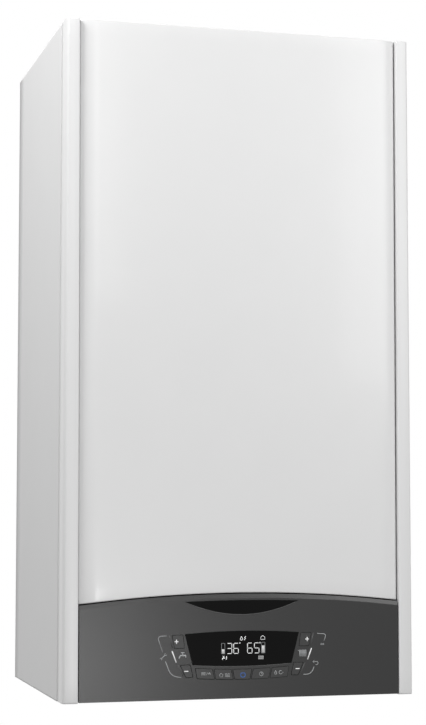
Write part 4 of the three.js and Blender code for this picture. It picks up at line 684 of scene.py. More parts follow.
# ---------------------------------------------------------------- front casing
@dataclass
class FrontCasing:
    """The pull-off front: the white door with its folded edges, and the two edge rails."""

    body: str = "front_casing"
    half: float = 200.0
    height: float = 745.0
    rail_head: float = 15.4
    rail_foot: float = 17.3
    gap: float = 1.2
    rail_front: float = -319.0
    door_front: float = -317.5
    back: float = -289.0
    arch_end: float = 105.0
    arch_rise: float = 10.6
    roll_width: float = 22.0
    roll_drop: float = 4.0
    edge_radius: float = 1.4
    sheet: float = 1.2
    rail_wall: float = 2.5
    rail_roll: tuple[float, float] = (3.4, 8.0)
    inner_radius: float = 1.2
    outer_step: float = 0.5

    def rail_width(self, z: Array) -> Array:
        """Width of a rail at each height: it grows evenly from head to foot."""
        return self.rail_foot + (self.rail_head - self.rail_foot) * z / self.height

    def rows(self, radius: float, inner: int, close: bool) -> tuple[Array, Array, Array, Array]:
        """Lays out the rows of a pan from its lower edge to its upper one.

        A row lies at a share of the height, shifted by the edge's rounding, and moved towards the back plane.

        Args:
            radius: Rounding at both ends.
            inner: Rows between the ends.
            close: Carry the ends back to the pan's back plane.

        Returns:
            Share of the height, shift up, shift back, and share of the way to the back plane.
        """
        turn = np.radians(np.linspace(0.0, 90.0, 6))
        up, back = radius * (1.0 - np.cos(turn)), radius * (1.0 - np.sin(turn))
        fold = np.array([1.0, 0.5]) if close else np.array([])
        share = np.concatenate([0 * fold, 0 * turn, np.linspace(0, 1, inner + 2)[1:-1], 0 * turn + 1, 0 * fold + 1])
        rise = np.concatenate([0 * fold, up, np.zeros(inner), -up[::-1], 0 * fold])
        inset = np.concatenate([0 * fold + radius, back, np.zeros(inner), back[::-1], 0 * fold + radius])
        depth = np.concatenate([fold, np.zeros(len(turn) * 2 + inner), fold[::-1]])
        return share, rise, inset, depth

    def door(self) -> bpy.types.Object:
        """Builds the door's skin.

        Across, the skin is flat, then rolls back by roll_drop * t^2 over roll_width, turns round the edge radius and
        runs back. Down, it ends in the arch z = arch_end + arch_rise * (1 - (x / half width)^2).
        """
        share, rise, inset, depth = self.rows(self.edge_radius, 40, close=True)
        t = np.linspace(0.0, 1.0, 12)
        bend = np.radians(np.linspace(20.0, 90.0, 6))
        r = self.edge_radius
        start = 1.0 - r * (1.0 - math.sin(bend[0])) / self.roll_width
        roll_x = self.roll_width * (1.0 - t * start)
        roll_y = self.roll_drop * (t * start) ** 2
        bend_x = r - r * np.sin(bend[1:])
        bend_y = self.roll_drop * start**2 + r * (math.cos(bend[0]) - np.cos(bend[1:]))
        run = np.linspace(bend_y[-1], self.back - self.door_front, 4)[1:]
        from_edge = np.concatenate([roll_x, bend_x, 0 * run])
        drop = np.concatenate([roll_y, bend_y, run])
        flat = np.linspace(-1.0, 1.0, 25)[1:-1]
        side = np.concatenate([-np.ones(len(drop)), np.zeros(len(flat)), np.ones(len(drop))])
        from_edge = np.concatenate([from_edge[::-1], np.zeros(len(flat)), from_edge])
        drop = np.concatenate([drop[::-1], np.zeros(len(flat)), drop])
        middle = np.concatenate([np.zeros(len(roll_x) + 8), flat, np.zeros(len(roll_x) + 8)])
        level = self.arch_end + share * (self.height - self.arch_end)
        width = self.half - self.rail_width(level) - self.gap
        x = side * (width[:, None] - from_edge) + middle * (width[:, None] - self.roll_width)
        low = self.arch_end + self.arch_rise * (1.0 - (x / width[:, None]) ** 2)
        z = low + share[:, None] * (self.height - low) + rise[:, None]
        y = self.door_front + drop + inset[:, None]
        y = np.minimum((1.0 - depth[:, None]) * y + depth[:, None] * self.back, self.back)
        piece = sheet_piece("door_skin", np.stack([x, y, z], axis=-1), self.sheet, DOOR_POWDER, self.body)
        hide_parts("front_door")
        return piece

    def fold(self, side: int) -> bpy.types.Object:
        """Builds the fold under one rail that carries the clip pins: a flat strip behind the rail's hollow."""
        level = np.linspace(self.arch_end + 12.0, self.height - 12.0, 14)
        inner = self.half - self.rail_width(level) - self.gap - self.sheet
        outer = np.full_like(level, self.half - self.rail_wall - 0.3)
        x = side * np.stack([inner, outer], axis=-1)
        grid = np.stack([x, np.full_like(x, self.back - self.sheet), np.stack([level, level], axis=-1)], axis=-1)
        if side < 0:
            grid = grid[:, ::-1]
        return sheet_piece(f"door_fold_{'right' if side > 0 else 'left'}", grid, self.sheet, DOOR_POWDER, self.body)

    def gap_shade_strip(self, side: int) -> bpy.types.Object:
        """Closes the gap between door and rail from behind with a dark strip, as wide as the gap and its two walls:
        painted shade in the gap.
        """
        level = np.linspace(self.arch_end + 8.0, self.height - 3.0, 14)
        outer = self.half - self.rail_width(level) + 0.2
        x = side * np.stack([outer - self.gap - 0.4, outer], axis=-1)
        grid = np.stack([x, np.full_like(x, self.rail_front + 9.0), np.stack([level, level], axis=-1)], axis=-1)
        if side < 0:
            grid = grid[:, ::-1]
        name = f"gap_shade_strip_{'right' if side > 0 else 'left'}"
        # A dark rubber sheet behind the gap, as painted shade where the gap only holds shade.
        return sheet_piece(name, grid, 1.0, EPDM_RUBBER, self.body)

    def clip_pin(self, side: int, level: float) -> bpy.types.Object:
        """Builds one clip pin: a rod with a waist that the clip's spring snaps into, and a rounded end."""
        foot = [(0, 0), (5, 0), (5, 1.4), (3, 1.6), (3, 5.2)]
        profile = [*foot, (2.3, 6), (2.3, 7.2), (3, 8), (3, 10), (2, 11.4), (0, 12)]
        name = f"clip_pin_{'right' if side > 0 else 'left'}_{'upper' if level > 400 else 'lower'}"
        profile = [(radius, height - 1.4 - 0.6) for radius, height in profile]
        return turned_piece(name, profile, (side * 192.5, self.back, level), "Y", ZINC_SCREW, self.body, 24)

    def rail(self, side: int) -> bpy.types.Object:
        """Builds one rail as a closed-ended channel.

        Its section runs from the inner wall round a quarter circle, over the flat front, then round a quarter of an
        ellipse to the outer wall and back.
        """
        share, rise, inset, depth = self.rows(2.0, 30, close=True)
        level = share * self.height
        width = self.rail_width(level)[:, None]
        outer = self.half - self.outer_step
        turn = np.radians(np.linspace(0.0, 90.0, 7))
        roll_x = outer - self.rail_roll[0] * (1.0 - np.sin(turn))
        roll_y = self.rail_front + self.rail_roll[1] * (1.0 - np.cos(turn))
        wall_y = np.array([self.back - 1.5, self.rail_front + 8.0])
        end_y = np.array([self.rail_front + 20.0, self.back])
        inner_x = self.half - width
        rows = len(level)
        x = np.concatenate(
            [
                np.repeat(inner_x, 2, axis=1),
                inner_x + self.inner_radius * (1.0 - np.cos(turn)),
                np.broadcast_to(roll_x, (rows, len(turn))),
                np.full((rows, 2), outer),
            ],
            axis=1,
        )
        inner_y = self.rail_front + self.inner_radius * (1.0 - np.sin(turn))
        y = np.concatenate([wall_y, inner_y, roll_y, end_y]) + inset[:, None]
        y = (1.0 - depth[:, None]) * y + depth[:, None] * self.back
        y = np.minimum(y, np.concatenate([[self.back - 1.5] * 2, np.full(y.shape[1] - 2, self.back)]))
        z = np.broadcast_to((level + rise)[:, None], x.shape)
        grid = np.stack([side * x, y, z], axis=-1)
        if side < 0:
            grid = grid[:, ::-1]
        name = "right_rail" if side > 0 else "left_rail"
        piece = sheet_piece(name + "_skin", grid, self.rail_wall, RAIL_ABS, self.body)
        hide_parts(name)
        return piece

    def build(self) -> list[bpy.types.Object]:
        """Builds the whole front casing."""
        pieces = [self.door(), self.rail(-1), self.rail(1), self.fold(-1), self.fold(1)]
        pieces += [self.gap_shade_strip(-1), self.gap_shade_strip(1)]
        pieces += [self.clip_pin(side, level) for side in (-1, 1) for level in (135.0, 705.0)]
        return pieces


# ---------------------------------------------------------------- casing
@dataclass
class Casing:
    """The fixed casing: side panels, top, bottom plate and back frame."""

    body: str = "chassis"
    half: float = 200.0
    height: float = 745.0
    front: float = -287.0
    sheet: float = 1.2
    fold: float = 12.0
    edge_radius: float = 2.6

    def side_panel(self, side: int) -> bpy.types.Object:
        """Builds one side panel: a flat sheet whose front edge turns inwards round a small radius."""
        turn = np.radians(np.linspace(0.0, 90.0, 7))
        r = self.edge_radius
        x = np.concatenate([np.full(9, self.half), self.half - r * (1 - np.cos(turn)), [self.half - self.fold]])
        y = np.concatenate([np.linspace(0.0, self.front + r + 2, 9), self.front + r * (1 - np.sin(turn)), [self.front]])
        level = np.concatenate([[0.0], np.linspace(2.0, self.height - 2.0, 40), [self.height]])
        grid = np.stack(np.broadcast_arrays(side * x[None, :], y[None, :], level[:, None]), axis=-1)
        if side > 0:
            grid = grid[:, ::-1]
        name = "right_side_panel" if side > 0 else "left_side_panel"
        # The side panel's powder is a darker copy of the door's: painted shade on the side.
        piece = sheet_piece(name + "_skin", grid, self.sheet, SATIN_POWDER_SHADED, self.body)
        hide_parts(name)
        return piece

    def build(self) -> list[bpy.types.Object]:
        """Builds the side panels and dresses the other sheets."""
        dress(SATIN_POWDER_SHADED, "top_panel")
        dress(ZINC_SHEET, "back_frame", "bottom_plate")
        return [self.side_panel(-1), self.side_panel(1)]


# ---------------------------------------------------------------- control panel
@dataclass
class ControlPanel:
    """The anthracite fascia with its window, badge plate and keys, and the electronics behind it."""

    body: str = "control_panel"
    face: float = -317.5
    proud: float = -317.8

    def digit(self, ink: Print, value: str, x: float, z: float, width: float, height: float, line: float) -> None:
        """Adds one seven-segment digit.

        Args:
            ink: Print that gets the digit.
            value: The digit.
            x: Left edge.
            z: Lower edge.
            width: Width of the digit.
            height: Height of the digit.
            line: Width of a segment.
        """
        lit = {"3": "abcdg", "6": "acdefg", "5": "acdfg"}[value]
        gap, mid = line * 0.75, z + height / 2.0
        spans = {
            "a": ((x + gap, z + height), (x + width - gap, z + height)),
            "g": ((x + gap, mid), (x + width - gap, mid)),
            "d": ((x + gap, z), (x + width - gap, z)),
            "b": ((x + width, mid + gap), (x + width, z + height - gap)),
            "c": ((x + width, z + gap), (x + width, mid - gap)),
            "f": ((x, mid + gap), (x, z + height - gap)),
            "e": ((x, z + gap), (x, mid - gap)),
        }
        for name in lit:
            ink.stroke(spans[name], line)

    def display(self) -> list[bpy.types.Object]:
        """Lights the display: two temperatures, two level bars and four small marks."""
        lit, half, dim = (Print(self.proud - 0.04) for _ in range(3))
        for value, x in (("3", -17.3), ("6", -9.9), ("6", 5.8), ("5", 13.7)):
            self.digit(lit, value, x, 49.6, 5.3, 11.0, 0.62)
        lit.stroke(arc((-3.0, 60.9), 0.55, 0, 324, 10), 0.35, closed=True)
        lit.stroke(arc((20.1, 60.7), 0.55, 0, 324, 10), 0.35, closed=True)
        dim.frame_box(-24.0, -19.7, 49.2, 61.1, 0.5)
        half.box(-23.4, -20.3, 49.8, 54.4)
        dim.frame_box(21.6, 26.0, 49.3, 61.3, 0.5)
        half.box(22.2, 25.4, 49.9, 57.6)
        # Tap and small flame under the first bar.
        lit.stroke([(-22.7, 43.1), (-22.7, 44.8), (-19.7, 44.8)], 0.8)
        lit.stroke([(-21.3, 44.8), (-21.3, 46.4)], 0.7)
        lit.stroke([(-22.3, 46.8), (-20.3, 46.8)], 0.45)
        lit.stroke([(-18.6, 43.0), (-17.9, 44.6), (-18.2, 46.9)], 0.6)
        # Radiator under the second bar: upright bars on one pipe.
        for x in np.linspace(18.6, 23.8, 6):
            half.stroke([(x, 42.6), (x, 46.6)], 0.45)
        half.stroke([(17.9, 43.4), (24.3, 43.4)], 0.35)
        # Flame and bolt over the middle, house over the second bar.
        flame = [(-1.9, 63.9), (-2.5, 65.2), (-1.7, 66.4), (-1.2, 68.0), (-0.2, 66.5), (0.2, 65.2), (-0.5, 63.9)]
        lit.stroke(flame, 0.6, closed=True)
        lit.stroke([(3.9, 68.0), (2.2, 65.9), (3.6, 65.9), (1.9, 63.8)], 0.65)
        lit.stroke([(21.0, 64.2), (21.0, 66.6), (23.3, 68.6), (25.6, 66.6), (25.6, 64.2)], 0.45, closed=True)
        return [
            lit.finish("display_segments_lit", LIT_SEGMENT, self.body),
            half.finish("display_segments_half", HALF_SEGMENT, self.body),
            dim.finish("display_segments_dim", DIM_SEGMENT, self.body),
        ]

    def panel_marks(self) -> list[bpy.types.Object]:
        """Prints the marks on the fascia round the keys: two bracket lines, two light bars and four pictograms, and
        paints highlights along two rounded mould edges.
        """
        ink, pale, unlit, edge = (Print(self.face - 0.04) for _ in range(4))
        # Brackets on the outer sides of the two key columns.
        pale.stroke(rounded([(-85.4, 70.0), (-95.6, 69.6), (-89.9, 52.6)], 4.5), 0.66)
        pale.stroke(rounded([(-86.6, 42.6), (-80.6, 26.8), (-69.0, 25.0)], 7.5, 10), 0.66)
        pale.stroke(rounded([(86.6, 69.6), (97.0, 68.6), (94.3, 61.2)], 3.2), 0.66)
        pale.stroke(rounded([(82.6, 33.2), (79.6, 25.2), (70.2, 25.0)], 6.0, 10), 0.66)
        # Spanner between the left bracket's two parts.
        pale.stroke([(-90.9, 46.0), (-87.3, 49.3)], 0.8)
        pale.stroke(arc((-86.3, 50.2), 1.1, 110, 340, 9), 0.5)
        pale.stroke(arc((-91.6, 45.4), 1.0, -80, 160, 9), 0.5)
        # Small book mark and return arrow on the right.
        pale.frame_box(90.4, 92.1, 57.0, 58.7, 0.45)
        pale.frame_box(92.5, 94.2, 57.0, 58.7, 0.45)
        pale.stroke(rounded([(81.2, 38.6), (87.2, 38.6), (87.2, 35.4), (84.4, 35.4)], 1.2, 4), 0.55)
        pale.stroke([(82.9, 40.0), (81.0, 38.6), (82.9, 37.2)], 0.5)
        # Light bars between plus and minus, and their unlit ends beside the keys.
        ink.stroke([(-79.3, 53.7), (-74.6, 41.2)], 1.1)
        ink.stroke([(79.8, 53.7), (75.1, 41.3)], 1.1)
        for side in (-1, 1):
            unlit.stroke([(side * 82.0, 70.3), (side * 78.9, 56.8)], 1.4)
            unlit.stroke([(side * 72.2, 38.1), (side * 66.6, 26.2)], 1.3)
        # Painted highlights along the rounded mould edges that catch the light: under the badge plate's arc and under
        # the window.
        across = np.linspace(-1.0, 1.0, 41)
        edge.stroke(np.stack([62.0 * across, 91.7 + 13.4 * across**2], axis=-1), 0.75)
        edge.stroke(np.stack([55.4 * across, 35.5 + 2.1 * across**2], axis=-1), 0.8)
        # Tap with a drop on the left.
        pale.stroke([(-70.4, 48.6), (-64.0, 48.6), (-64.0, 46.4)], 1.5)
        pale.stroke([(-67.4, 48.8), (-67.4, 51.4)], 0.9)
        pale.stroke([(-69.4, 51.6), (-65.4, 51.6)], 0.9)
        pale.stroke([(-70.2, 48.2), (-71.6, 45.2)], 1.3)
        # Radiator on the right.
        for x in np.linspace(66.0, 73.2, 6):
            pale.stroke([(x, 44.6), (x, 52.0)], 0.8)
        pale.stroke([(64.0, 51.2), (73.6, 51.2)], 0.6)
        pale.stroke([(65.4, 45.4), (73.6, 45.4)], 0.6)
        return [
            ink.finish("panel_light_bars", WHITE_INK_AND_GLOW, self.body),
            pale.finish("panel_marks", GREY_INK, self.body),
            unlit.finish("panel_unlit_bars", UNLIT_BAR, self.body),
            # The edge strips are painted highlights.
            edge.finish("panel_painted_edge_highlights", EDGE_HIGHLIGHT_PAINT, self.body),
        ]

    def key_marks(self) -> list[bpy.types.Object]:
        """Prints the mark on each key."""
        face = self.proud - 0.04
        pieces = []
        for name, x, z in (("hot_water", -74.4, 63.6), ("heating", 74.6, 63.6)):
            plus = Print(face).box(x - 2.1, x + 2.1, z - 0.5, z + 0.5).box(x - 0.5, x + 0.5, z - 2.3, z + 2.3)
            # The plus and minus marks glow with the ink: painted glow on print.
            pieces.append(plus.finish(f"mark_{name}_plus", WHITE_INK_AND_GLOW, f"{name}_plus"))
            spot = x + (11.0 if x < 0 else -11.2)
            minus = Print(face).box(spot - 2.3, spot + 2.3, 31.0, 32.0)
            pieces.append(minus.finish(f"mark_{name}_minus", WHITE_INK_AND_GLOW, f"{name}_minus"))
        mode = Print(face)
        for x in np.linspace(-46.0, -42.4, 4):
            mode.stroke([(x, 26.4), (x, 30.0)], 0.55)
        mode.stroke([(-40.9, 26.6), (-39.5, 29.8)], 0.4)
        mode.stroke([(-38.4, 27.4), (-38.4, 28.6), (-36.6, 28.6), (-36.6, 27.2)], 0.7)
        mode.stroke([(-37.6, 28.6), (-37.6, 29.8)], 0.6)
        pieces.append(mode.finish("mark_mode", GREY_INK, "mode"))
        house = Print(face)
        house.stroke([(-26.4, 26.6), (-24.1, 28.5), (-21.8, 26.6)], 0.5)
        house.stroke([(-25.7, 26.6), (-25.7, 24.6), (-22.5, 24.6), (-22.5, 26.6)], 0.45)
        for level in (24.9, 26.3, 27.7):
            x = np.linspace(-19.6, -14.2, 19)
            house.stroke(np.stack([x, level + 0.35 * np.sin(x * 2.3)], axis=-1), 0.45)
        pieces.append(house.finish("mark_comfort", GREY_INK, "comfort"))
        ring = Print(face)
        ring.stroke(arc((0.6, 26.2), 2.6, 118, 422, 24), 1.0)
        ring.stroke([(0.6, 26.8), (0.6, 29.3)], 0.9)
        pieces.append(ring.finish("mark_power", BLUE_LIGHT, "power"))
        clock = Print(face)
        clock.stroke(arc((21.6, 26.8), 2.1, 0, 345, 20), 0.45, closed=True)
        clock.stroke([(21.6, 28.2), (21.6, 26.8), (22.7, 26.2)], 0.4)
        pieces.append(clock.finish("mark_auto", GREY_INK, "auto"))
        reset = Print(face)
        flame = [(37.2, 26.0), (36.7, 27.4), (37.6, 28.7), (37.8, 30.0), (38.9, 28.7), (39.3, 27.2), (38.6, 26.0)]
        reset.stroke(flame, 0.6, closed=True)
        reset.stroke(arc((43.9, 28.0), 1.9, 60, 350, 16), 0.5)
        reset.stroke([(45.5, 26.7), (45.8, 27.9), (46.9, 27.3)], 0.45)
        pieces.append(reset.finish("mark_reset", GREY_INK, "reset"))
        return pieces

    def build(self) -> list[bpy.types.Object]:
        """Builds the panel's pieces."""
        pieces = [softened("fascia", FASCIA_ABS, 0.5, self.body, crease=9.0)]
        pieces.append(softened("display_lens", BLACK_ACRYLIC, 0.4, self.body))
        pieces.append(softened("badge_plate", BLACK_ACRYLIC, 0.3, self.body))
        for key in (
            "hot_water_plus",
            "hot_water_minus",
            "heating_plus",
            "heating_minus",
            "mode",
            "comfort",
            "power",
            "auto",
            "reset",
        ):
            pieces.append(softened(f"key_{key}", KEY_ABS, 0.45, key))
        dress(DARK_NYLON, "control_box")
        dress(SOLDER_MASK, "circuit_board")
        dress(GREY_POLYPROPYLENE, "lcd_module")
        return pieces + self.display() + self.panel_marks() + self.key_marks()


# ---------------------------------------------------------------- small parts
def repeated(
    name: str,
    profile: Sequence[Sequence[float]],
    places: Sequence[Sequence[float]],
    axis: str,
    finish: Finish,
    body: str,
    sides: int = 20,
    closed: bool = False,
) -> bpy.types.Object:
    """Turns one profile round an axis and sets a copy at each place, all as one piece.

    Args:
        name: Name of the piece.
        profile: Radius and height of each point.
        places: Where height 0 of each copy lies.
        axis: X, Y or Z.
        finish: Finish of the piece.
        body: CAD body that carries it.
        sides: Points round the axis; 6 makes a hexagon.
        closed: The profile's last point joins its first, as on a ring.

    Returns:
        The new object.
    """
    radius, height = np.asarray(profile, float).T
    turn = np.linspace(0.0, 2.0 * math.pi, sides, endpoint=False)
    across, along = radius[:, None] * np.cos(turn), radius[:, None] * np.sin(turn)
    level = np.broadcast_to(height[:, None], across.shape)
    order = {"X": (level, across, along), "Y": (along, level, across), "Z": (across, along, level)}[axis]
    one = np.stack(order, axis=-1).reshape(1, -1, 3)
    points = one + np.asarray(places, float)[:, None, :]
    faces = grid_faces(len(radius), sides, wrap_rows=closed, wrap_columns=True)
    faces = faces[None] + (np.arange(len(points)) * one.shape[1])[:, None, None]
    return make_piece(name, points, faces.reshape(-1, 4), finish, body)


def hexagon(across: float, height: float, bore: float = 0.0) -> list[tuple[float, float]]:
    """Profile of a hexagon head or nut: chamfered at the top, with a bore that is 0 or the thread's radius."""
    r = across / math.sqrt(3.0)
    return [(bore, 0), (r, 0), (r, height * 0.82), (r * 0.88, height), (bore + 0.4, height), (bore, height - 0.3)]


def cooling_ribs(
    foot: float, top: float, start: float, pitch: float, count: int, rise: tuple[float, float, float]
) -> list[tuple[float, float]]:
    """Makes the profile of the ribs round a motor, each up from foot to top and back.

    Args:
        foot: Radius between the ribs.
        top: Radius on a rib.
        start: Height of the first rib.
        pitch: Height from rib to rib.
        count: Number of ribs.
        rise: Heights of a rib's other three corners above its first.

    Returns:
        Radius and height of each point.
    """
    corners = list(zip((foot, top, top, foot), (0.0, *rise)))
    return [(radius, start + pitch * n + height) for n in range(count) for radius, height in corners]


def thread(
    radius: float, start: float, end: float, pitch: float = 1.8, depth: float = 0.5
) -> list[tuple[float, float]]:
    """Profile of a thread drawn as rings: a zigzag of the pitch and depth between two heights."""
    count = int(abs(end - start) / pitch)
    crest = np.tile([radius - depth, radius], count)
    level = np.linspace(start, end, 2 * count)
    return [(radius - 1.5, start), *zip(crest.tolist(), level.tolist()), (radius - 1.5, end)]


def ring_at(centre: Sequence[float], radius: float, angles: Iterable[float]) -> list[tuple[float, float, float]]:
    """Places (x, y, z) on a circle that faces the front, with angles in degrees from the x axis."""
    x, y, z = centre
    return [(x + radius * math.cos(math.radians(a)), y, z + radius * math.sin(math.radians(a))) for a in angles]


def box_piece(
    name: str, low: Sequence[float], high: Sequence[float], radius: float, finish: Finish, body: str
) -> bpy.types.Object:
    """Makes a moulded block: a superellipse section of high power is carried from the wall to the front.

    Each station along y is the section scaled by the rounding at both ends, where it draws in by the radius.

    Args:
        name: Name of the piece.
        low: Lowest corner.
        high: Highest corner.
        radius: Rounding of the edges.
        finish: Finish of the piece.
        body: CAD body that carries it.

    Returns:
        The new object.
    """
    low, high = np.asarray(low, float), np.asarray(high, float)
    middle, half = (low + high) / 2.0, (high - low) / 2.0
    corner = np.radians(np.concatenate([np.linspace(q, q + 90.0, 5) for q in (0.0, 90.0, 180.0, 270.0)]))
    signs = np.repeat([(1, 1), (-1, 1), (-1, -1), (1, -1)], 5, axis=0)
    section = signs * (half[[0, 2]] - radius) + radius * np.stack([np.cos(corner), np.sin(corner)], axis=-1)
    bend = np.radians(np.linspace(0.0, 90.0, 4))
    inset = radius * (1.0 - np.sin(bend))
    back = half[1] - radius * (1.0 - np.cos(bend))
    inset = np.concatenate([[half.max()], inset, inset[::-1], [half.max()]])
    level = np.concatenate([[back[0]], back, -back[::-1], [-back[0]]])
    room = np.maximum(1.0 - inset[:, None, None] / half[[0, 2]], 0.0)
    flat = section[None] * room
    y = np.broadcast_to(level[:, None, None], flat[..., :1].shape)
    points = np.concatenate([flat[..., :1], y, flat[..., 1:]], axis=-1) + middle
    return make_piece(name, points, grid_faces(len(level), 20, wrap_columns=True), finish, body)


# ---------------------------------------------------------------- heat cell, fan and flue
@dataclass
class HeatCell:
    """Aluminium shell with its coil and burner door, the fan with its motor, and the air path."""

    body: str = "chassis"
    cell: tuple[float, float] = (20.0, 490.0)
    plate_front: float = -216.3
    fan: tuple[float, float] = (-130.0, 554.0)
    fan_front: float = -257.0
    motor_front: float = -285.3

    def door_fixings(self) -> list[bpy.types.Object]:
        """Sets the burner door's studs and flange nuts, its sealing cord, sight glass and thermostat."""
        x, z = self.cell
        places = ring_at((x, self.plate_front, z), 96.0, (22, 68, 202, 247, 292, 338))
        nut = [(3, 0), (7.2, 0), (7.2, -1.2), (5.8, -1.5), (5.8, -6), (5, -6.8), (3, -6.8)]
        stud = [(3, 0), *[(3.0 - 0.35 * (i % 2), -6.8 - 0.45 * i) for i in range(10)], (2.2, -11.6), (0, -11.6)]
        seal = [(104.2, -208.4), (105.6, -207.6), (105.6, -206.6), (104.2, -206.0)]
        glass_at = [(x - 56.0, self.plate_front, z - 34.0)]
        rim = [(6.5, 0), (12, 0), (12, -3), (11, -4), (7.5, -4), (6.5, -3)]
        pane = [(0, -1.6), (6.6, -1.6), (6.6, -0.6), (0, -0.6)]
        disc_at = [(x + 60.0, self.plate_front, z + 20.0)]
        disc = [(0, 0), (10, 0), (10, -1), (8.4, -1.4), (8.4, -7), (7.6, -8), (0, -8)]
        tabs = [(x + 57.0, self.plate_front - 11.0, z + 20.0), (x + 63.0, self.plate_front - 11.0, z + 20.0)]
        return [
            repeated("burner_door_nuts", nut, places, "Y", ZINC_SCREW, self.body, 6),
            repeated("burner_door_studs", stud, places, "Y", ZINC_SCREW, self.body, 16),
            turned_piece("burner_door_seal", seal, (x, 0, z), "Y", EPDM_RUBBER, self.body, 96, closed=True),
            repeated("sight_glass_rim", rim, glass_at, "Y", CAST_ALUMINIUM, self.body, 28, closed=True),
            repeated("sight_glass_pane", pane, glass_at, "Y", STEATITE, self.body, 28),
            repeated("burner_door_thermostat", disc, disc_at, "Y", STAINLESS, self.body, 28),
            repeated("thermostat_tabs", [(0, -1), (1.4, -1), (1.4, 3), (0, 3)], tabs, "Y", FORGED_BRASS, self.body, 4),
        ]

    def ignition(self) -> list[bpy.types.Object]:
        """Leads the spark from its generator to the electrode, with a boot on the electrode's head."""
        head = (62.0, -238.3, 458.0)
        boot = [(0, -12), (4.4, -12), (5.6, -9), (6.2, 0), (6.8, 6), (6.2, 8), (5.2, 8)]
        base = (104.0, -190.0, 352.0)
        box = box_piece(
            "spark_generator", (80, -196, 318), (128, -168, 352), 2.0, DARK_NYLON, self.body
        )
        plug = [(0, 6), (4, 6), (5, 3), (5, -3), (0, -3)]
        corners = [
            (62.0, -249.5, 458.0),
            (62.0, -256.5, 458.0),
            (66.0, -256.5, 400.0),
            (104.0, -240.0, 372.0),
            (104.0, -182.0, 371.0),
            (104.0, -182.0, 356.0),
        ]
        lead = tube_piece("spark_lead", bent_path(corners, 7.0, 9), 2.6, RED_SILICONE, self.body, 16)
        return [
            repeated("spark_lead_boot", boot, [head], "Y", RED_SILICONE, self.body, 24),
            repeated("spark_lead_plug", plug, [(base[0], -182.0, 353.0)], "Z", RED_SILICONE, self.body, 20),
            box,
            lead,
        ]

    def fan_details(self) -> list[bpy.types.Object]:
        """Adds the fan's rim, its screws, the motor's ribs and connector, and the shaft's end."""
        x, z = self.fan
        screws = ring_at((x, self.fan_front, z), 47.0, (30, 150, 210, 330))
        head = [(0, -2.6), (2.2, -2.6), (3.6, -1.9), (4.2, 0), (0, 0)]
        rim = [(47.5, 0.3), (50.5, 0.3), (50.5, -1.4), (49.6, -2.2), (48.4, -2.2), (47.5, -1.4)]
        fins = cooling_ribs(33.6, 34.9, -3.0, -3.2, 7, (-0.5, -1.3, -1.8))
        band = [(32.0, -2.0), *fins, (32.0, -25.4)]
        cap = [(0, -0.2), (24, -0.2), (25.5, 0.6), (25.5, 1.6), (0, 1.6)]
        motor = (x, self.fan_front - 0.3, z)
        return [
            repeated("fan_screws", head, screws, "Y", ZINC_SCREW, self.body, 20),
            repeated("fan_rim", rim, [(x, self.fan_front, z)], "Y", CAST_ALUMINIUM, self.body, 72, closed=True),
            repeated("fan_motor_ribs", band, [motor], "Y", MOTOR_PAINT, self.body, 64, closed=True),
            repeated("fan_motor_cap", cap, [(x, self.motor_front, z)], "Y", DARK_NYLON, self.body, 48),
            box_piece("fan_connector", (x - 12, -279, z - 48), (x + 12, -262, z - 32), 1.5, WHITE_NYLON, self.body),
        ]

    def flue(self) -> list[bpy.types.Object]:
        """Adds the collar's lip seal and flange screws, the spare inlet's cover screws and centre, and the silencer's
        clip.
        """
        flange = [(62.0 * math.cos(a) + 0.0, -150.0 + 62.0 * math.sin(a)) for a in np.radians([45, 135, 225, 315])]
        places = [(x, y, 751.6) for x, y in flange]
        head = [(0, 2.4), (2.4, 2.4), (4, 1.6), (4.4, 0), (0, 0)]
        lip = [(50.2, 0), (53.6, 0), (53.6, 1.0), (51.0, 1.6), (50.2, 1.0)]
        cover = [(-130 + 38 * math.cos(a), -164.7 + 38 * math.sin(a), 749.9) for a in np.radians([90, 210, 330])]
        disc = [(0, 0.4), (3, 0.4), (3.6, 0), (0, 0)]
        dome = [(0, 0.3), (34, 0.3), (35.5, -0.2), (35.5, -1.2), (0, -1.2)]
        return [
            repeated("flue_flange_screws", head, places, "Z", ZINC_SCREW, self.body, 20),
            repeated("flue_lip_seal", lip, [(0, -150, 771.3)], "Z", EPDM_RUBBER, self.body, 72, closed=True),
            repeated("spare_inlet_screws", disc, cover, "Z", ZINC_SCREW, self.body, 20),
            repeated("spare_inlet_centre", dome, [(-130, -164.7, 750.0)], "Z", DARK_NYLON, self.body, 56),
            repeated("silencer_clip", SILENCER_CLIP, [(-130, -164.7, 606)], "Z", STAINLESS, self.body, 56, closed=True),
        ]

    def build(self) -> list[bpy.types.Object]:
        """Dresses the nodes and builds the details."""
        dress(GREY_POLYPROPYLENE, "flue_collar", "flue_duct")
        dress(EPDM_RUBBER, "flue_gasket")
        dress(DARK_NYLON, "air_intake_cap", "air_silencer", "fan_impeller")
        dress(CAST_ALUMINIUM, "burner_door", "fan_housing", "air_mixer")
        dress(STAINLESS, "exchanger_coil", "burner_tube")
        dress(STEATITE, "ignition_electrode")
        dress(MOTOR_PAINT, "fan_motor")
        pieces = [softened("exchanger_shell", CAST_ALUMINIUM, 1.6, self.body)]
        return pieces + self.door_fixings() + self.ignition() + self.fan_details() + self.flue()


SILENCER_CLIP = [(30.1, 0), (31.0, 0), (31.0, 7), (30.1, 7)]


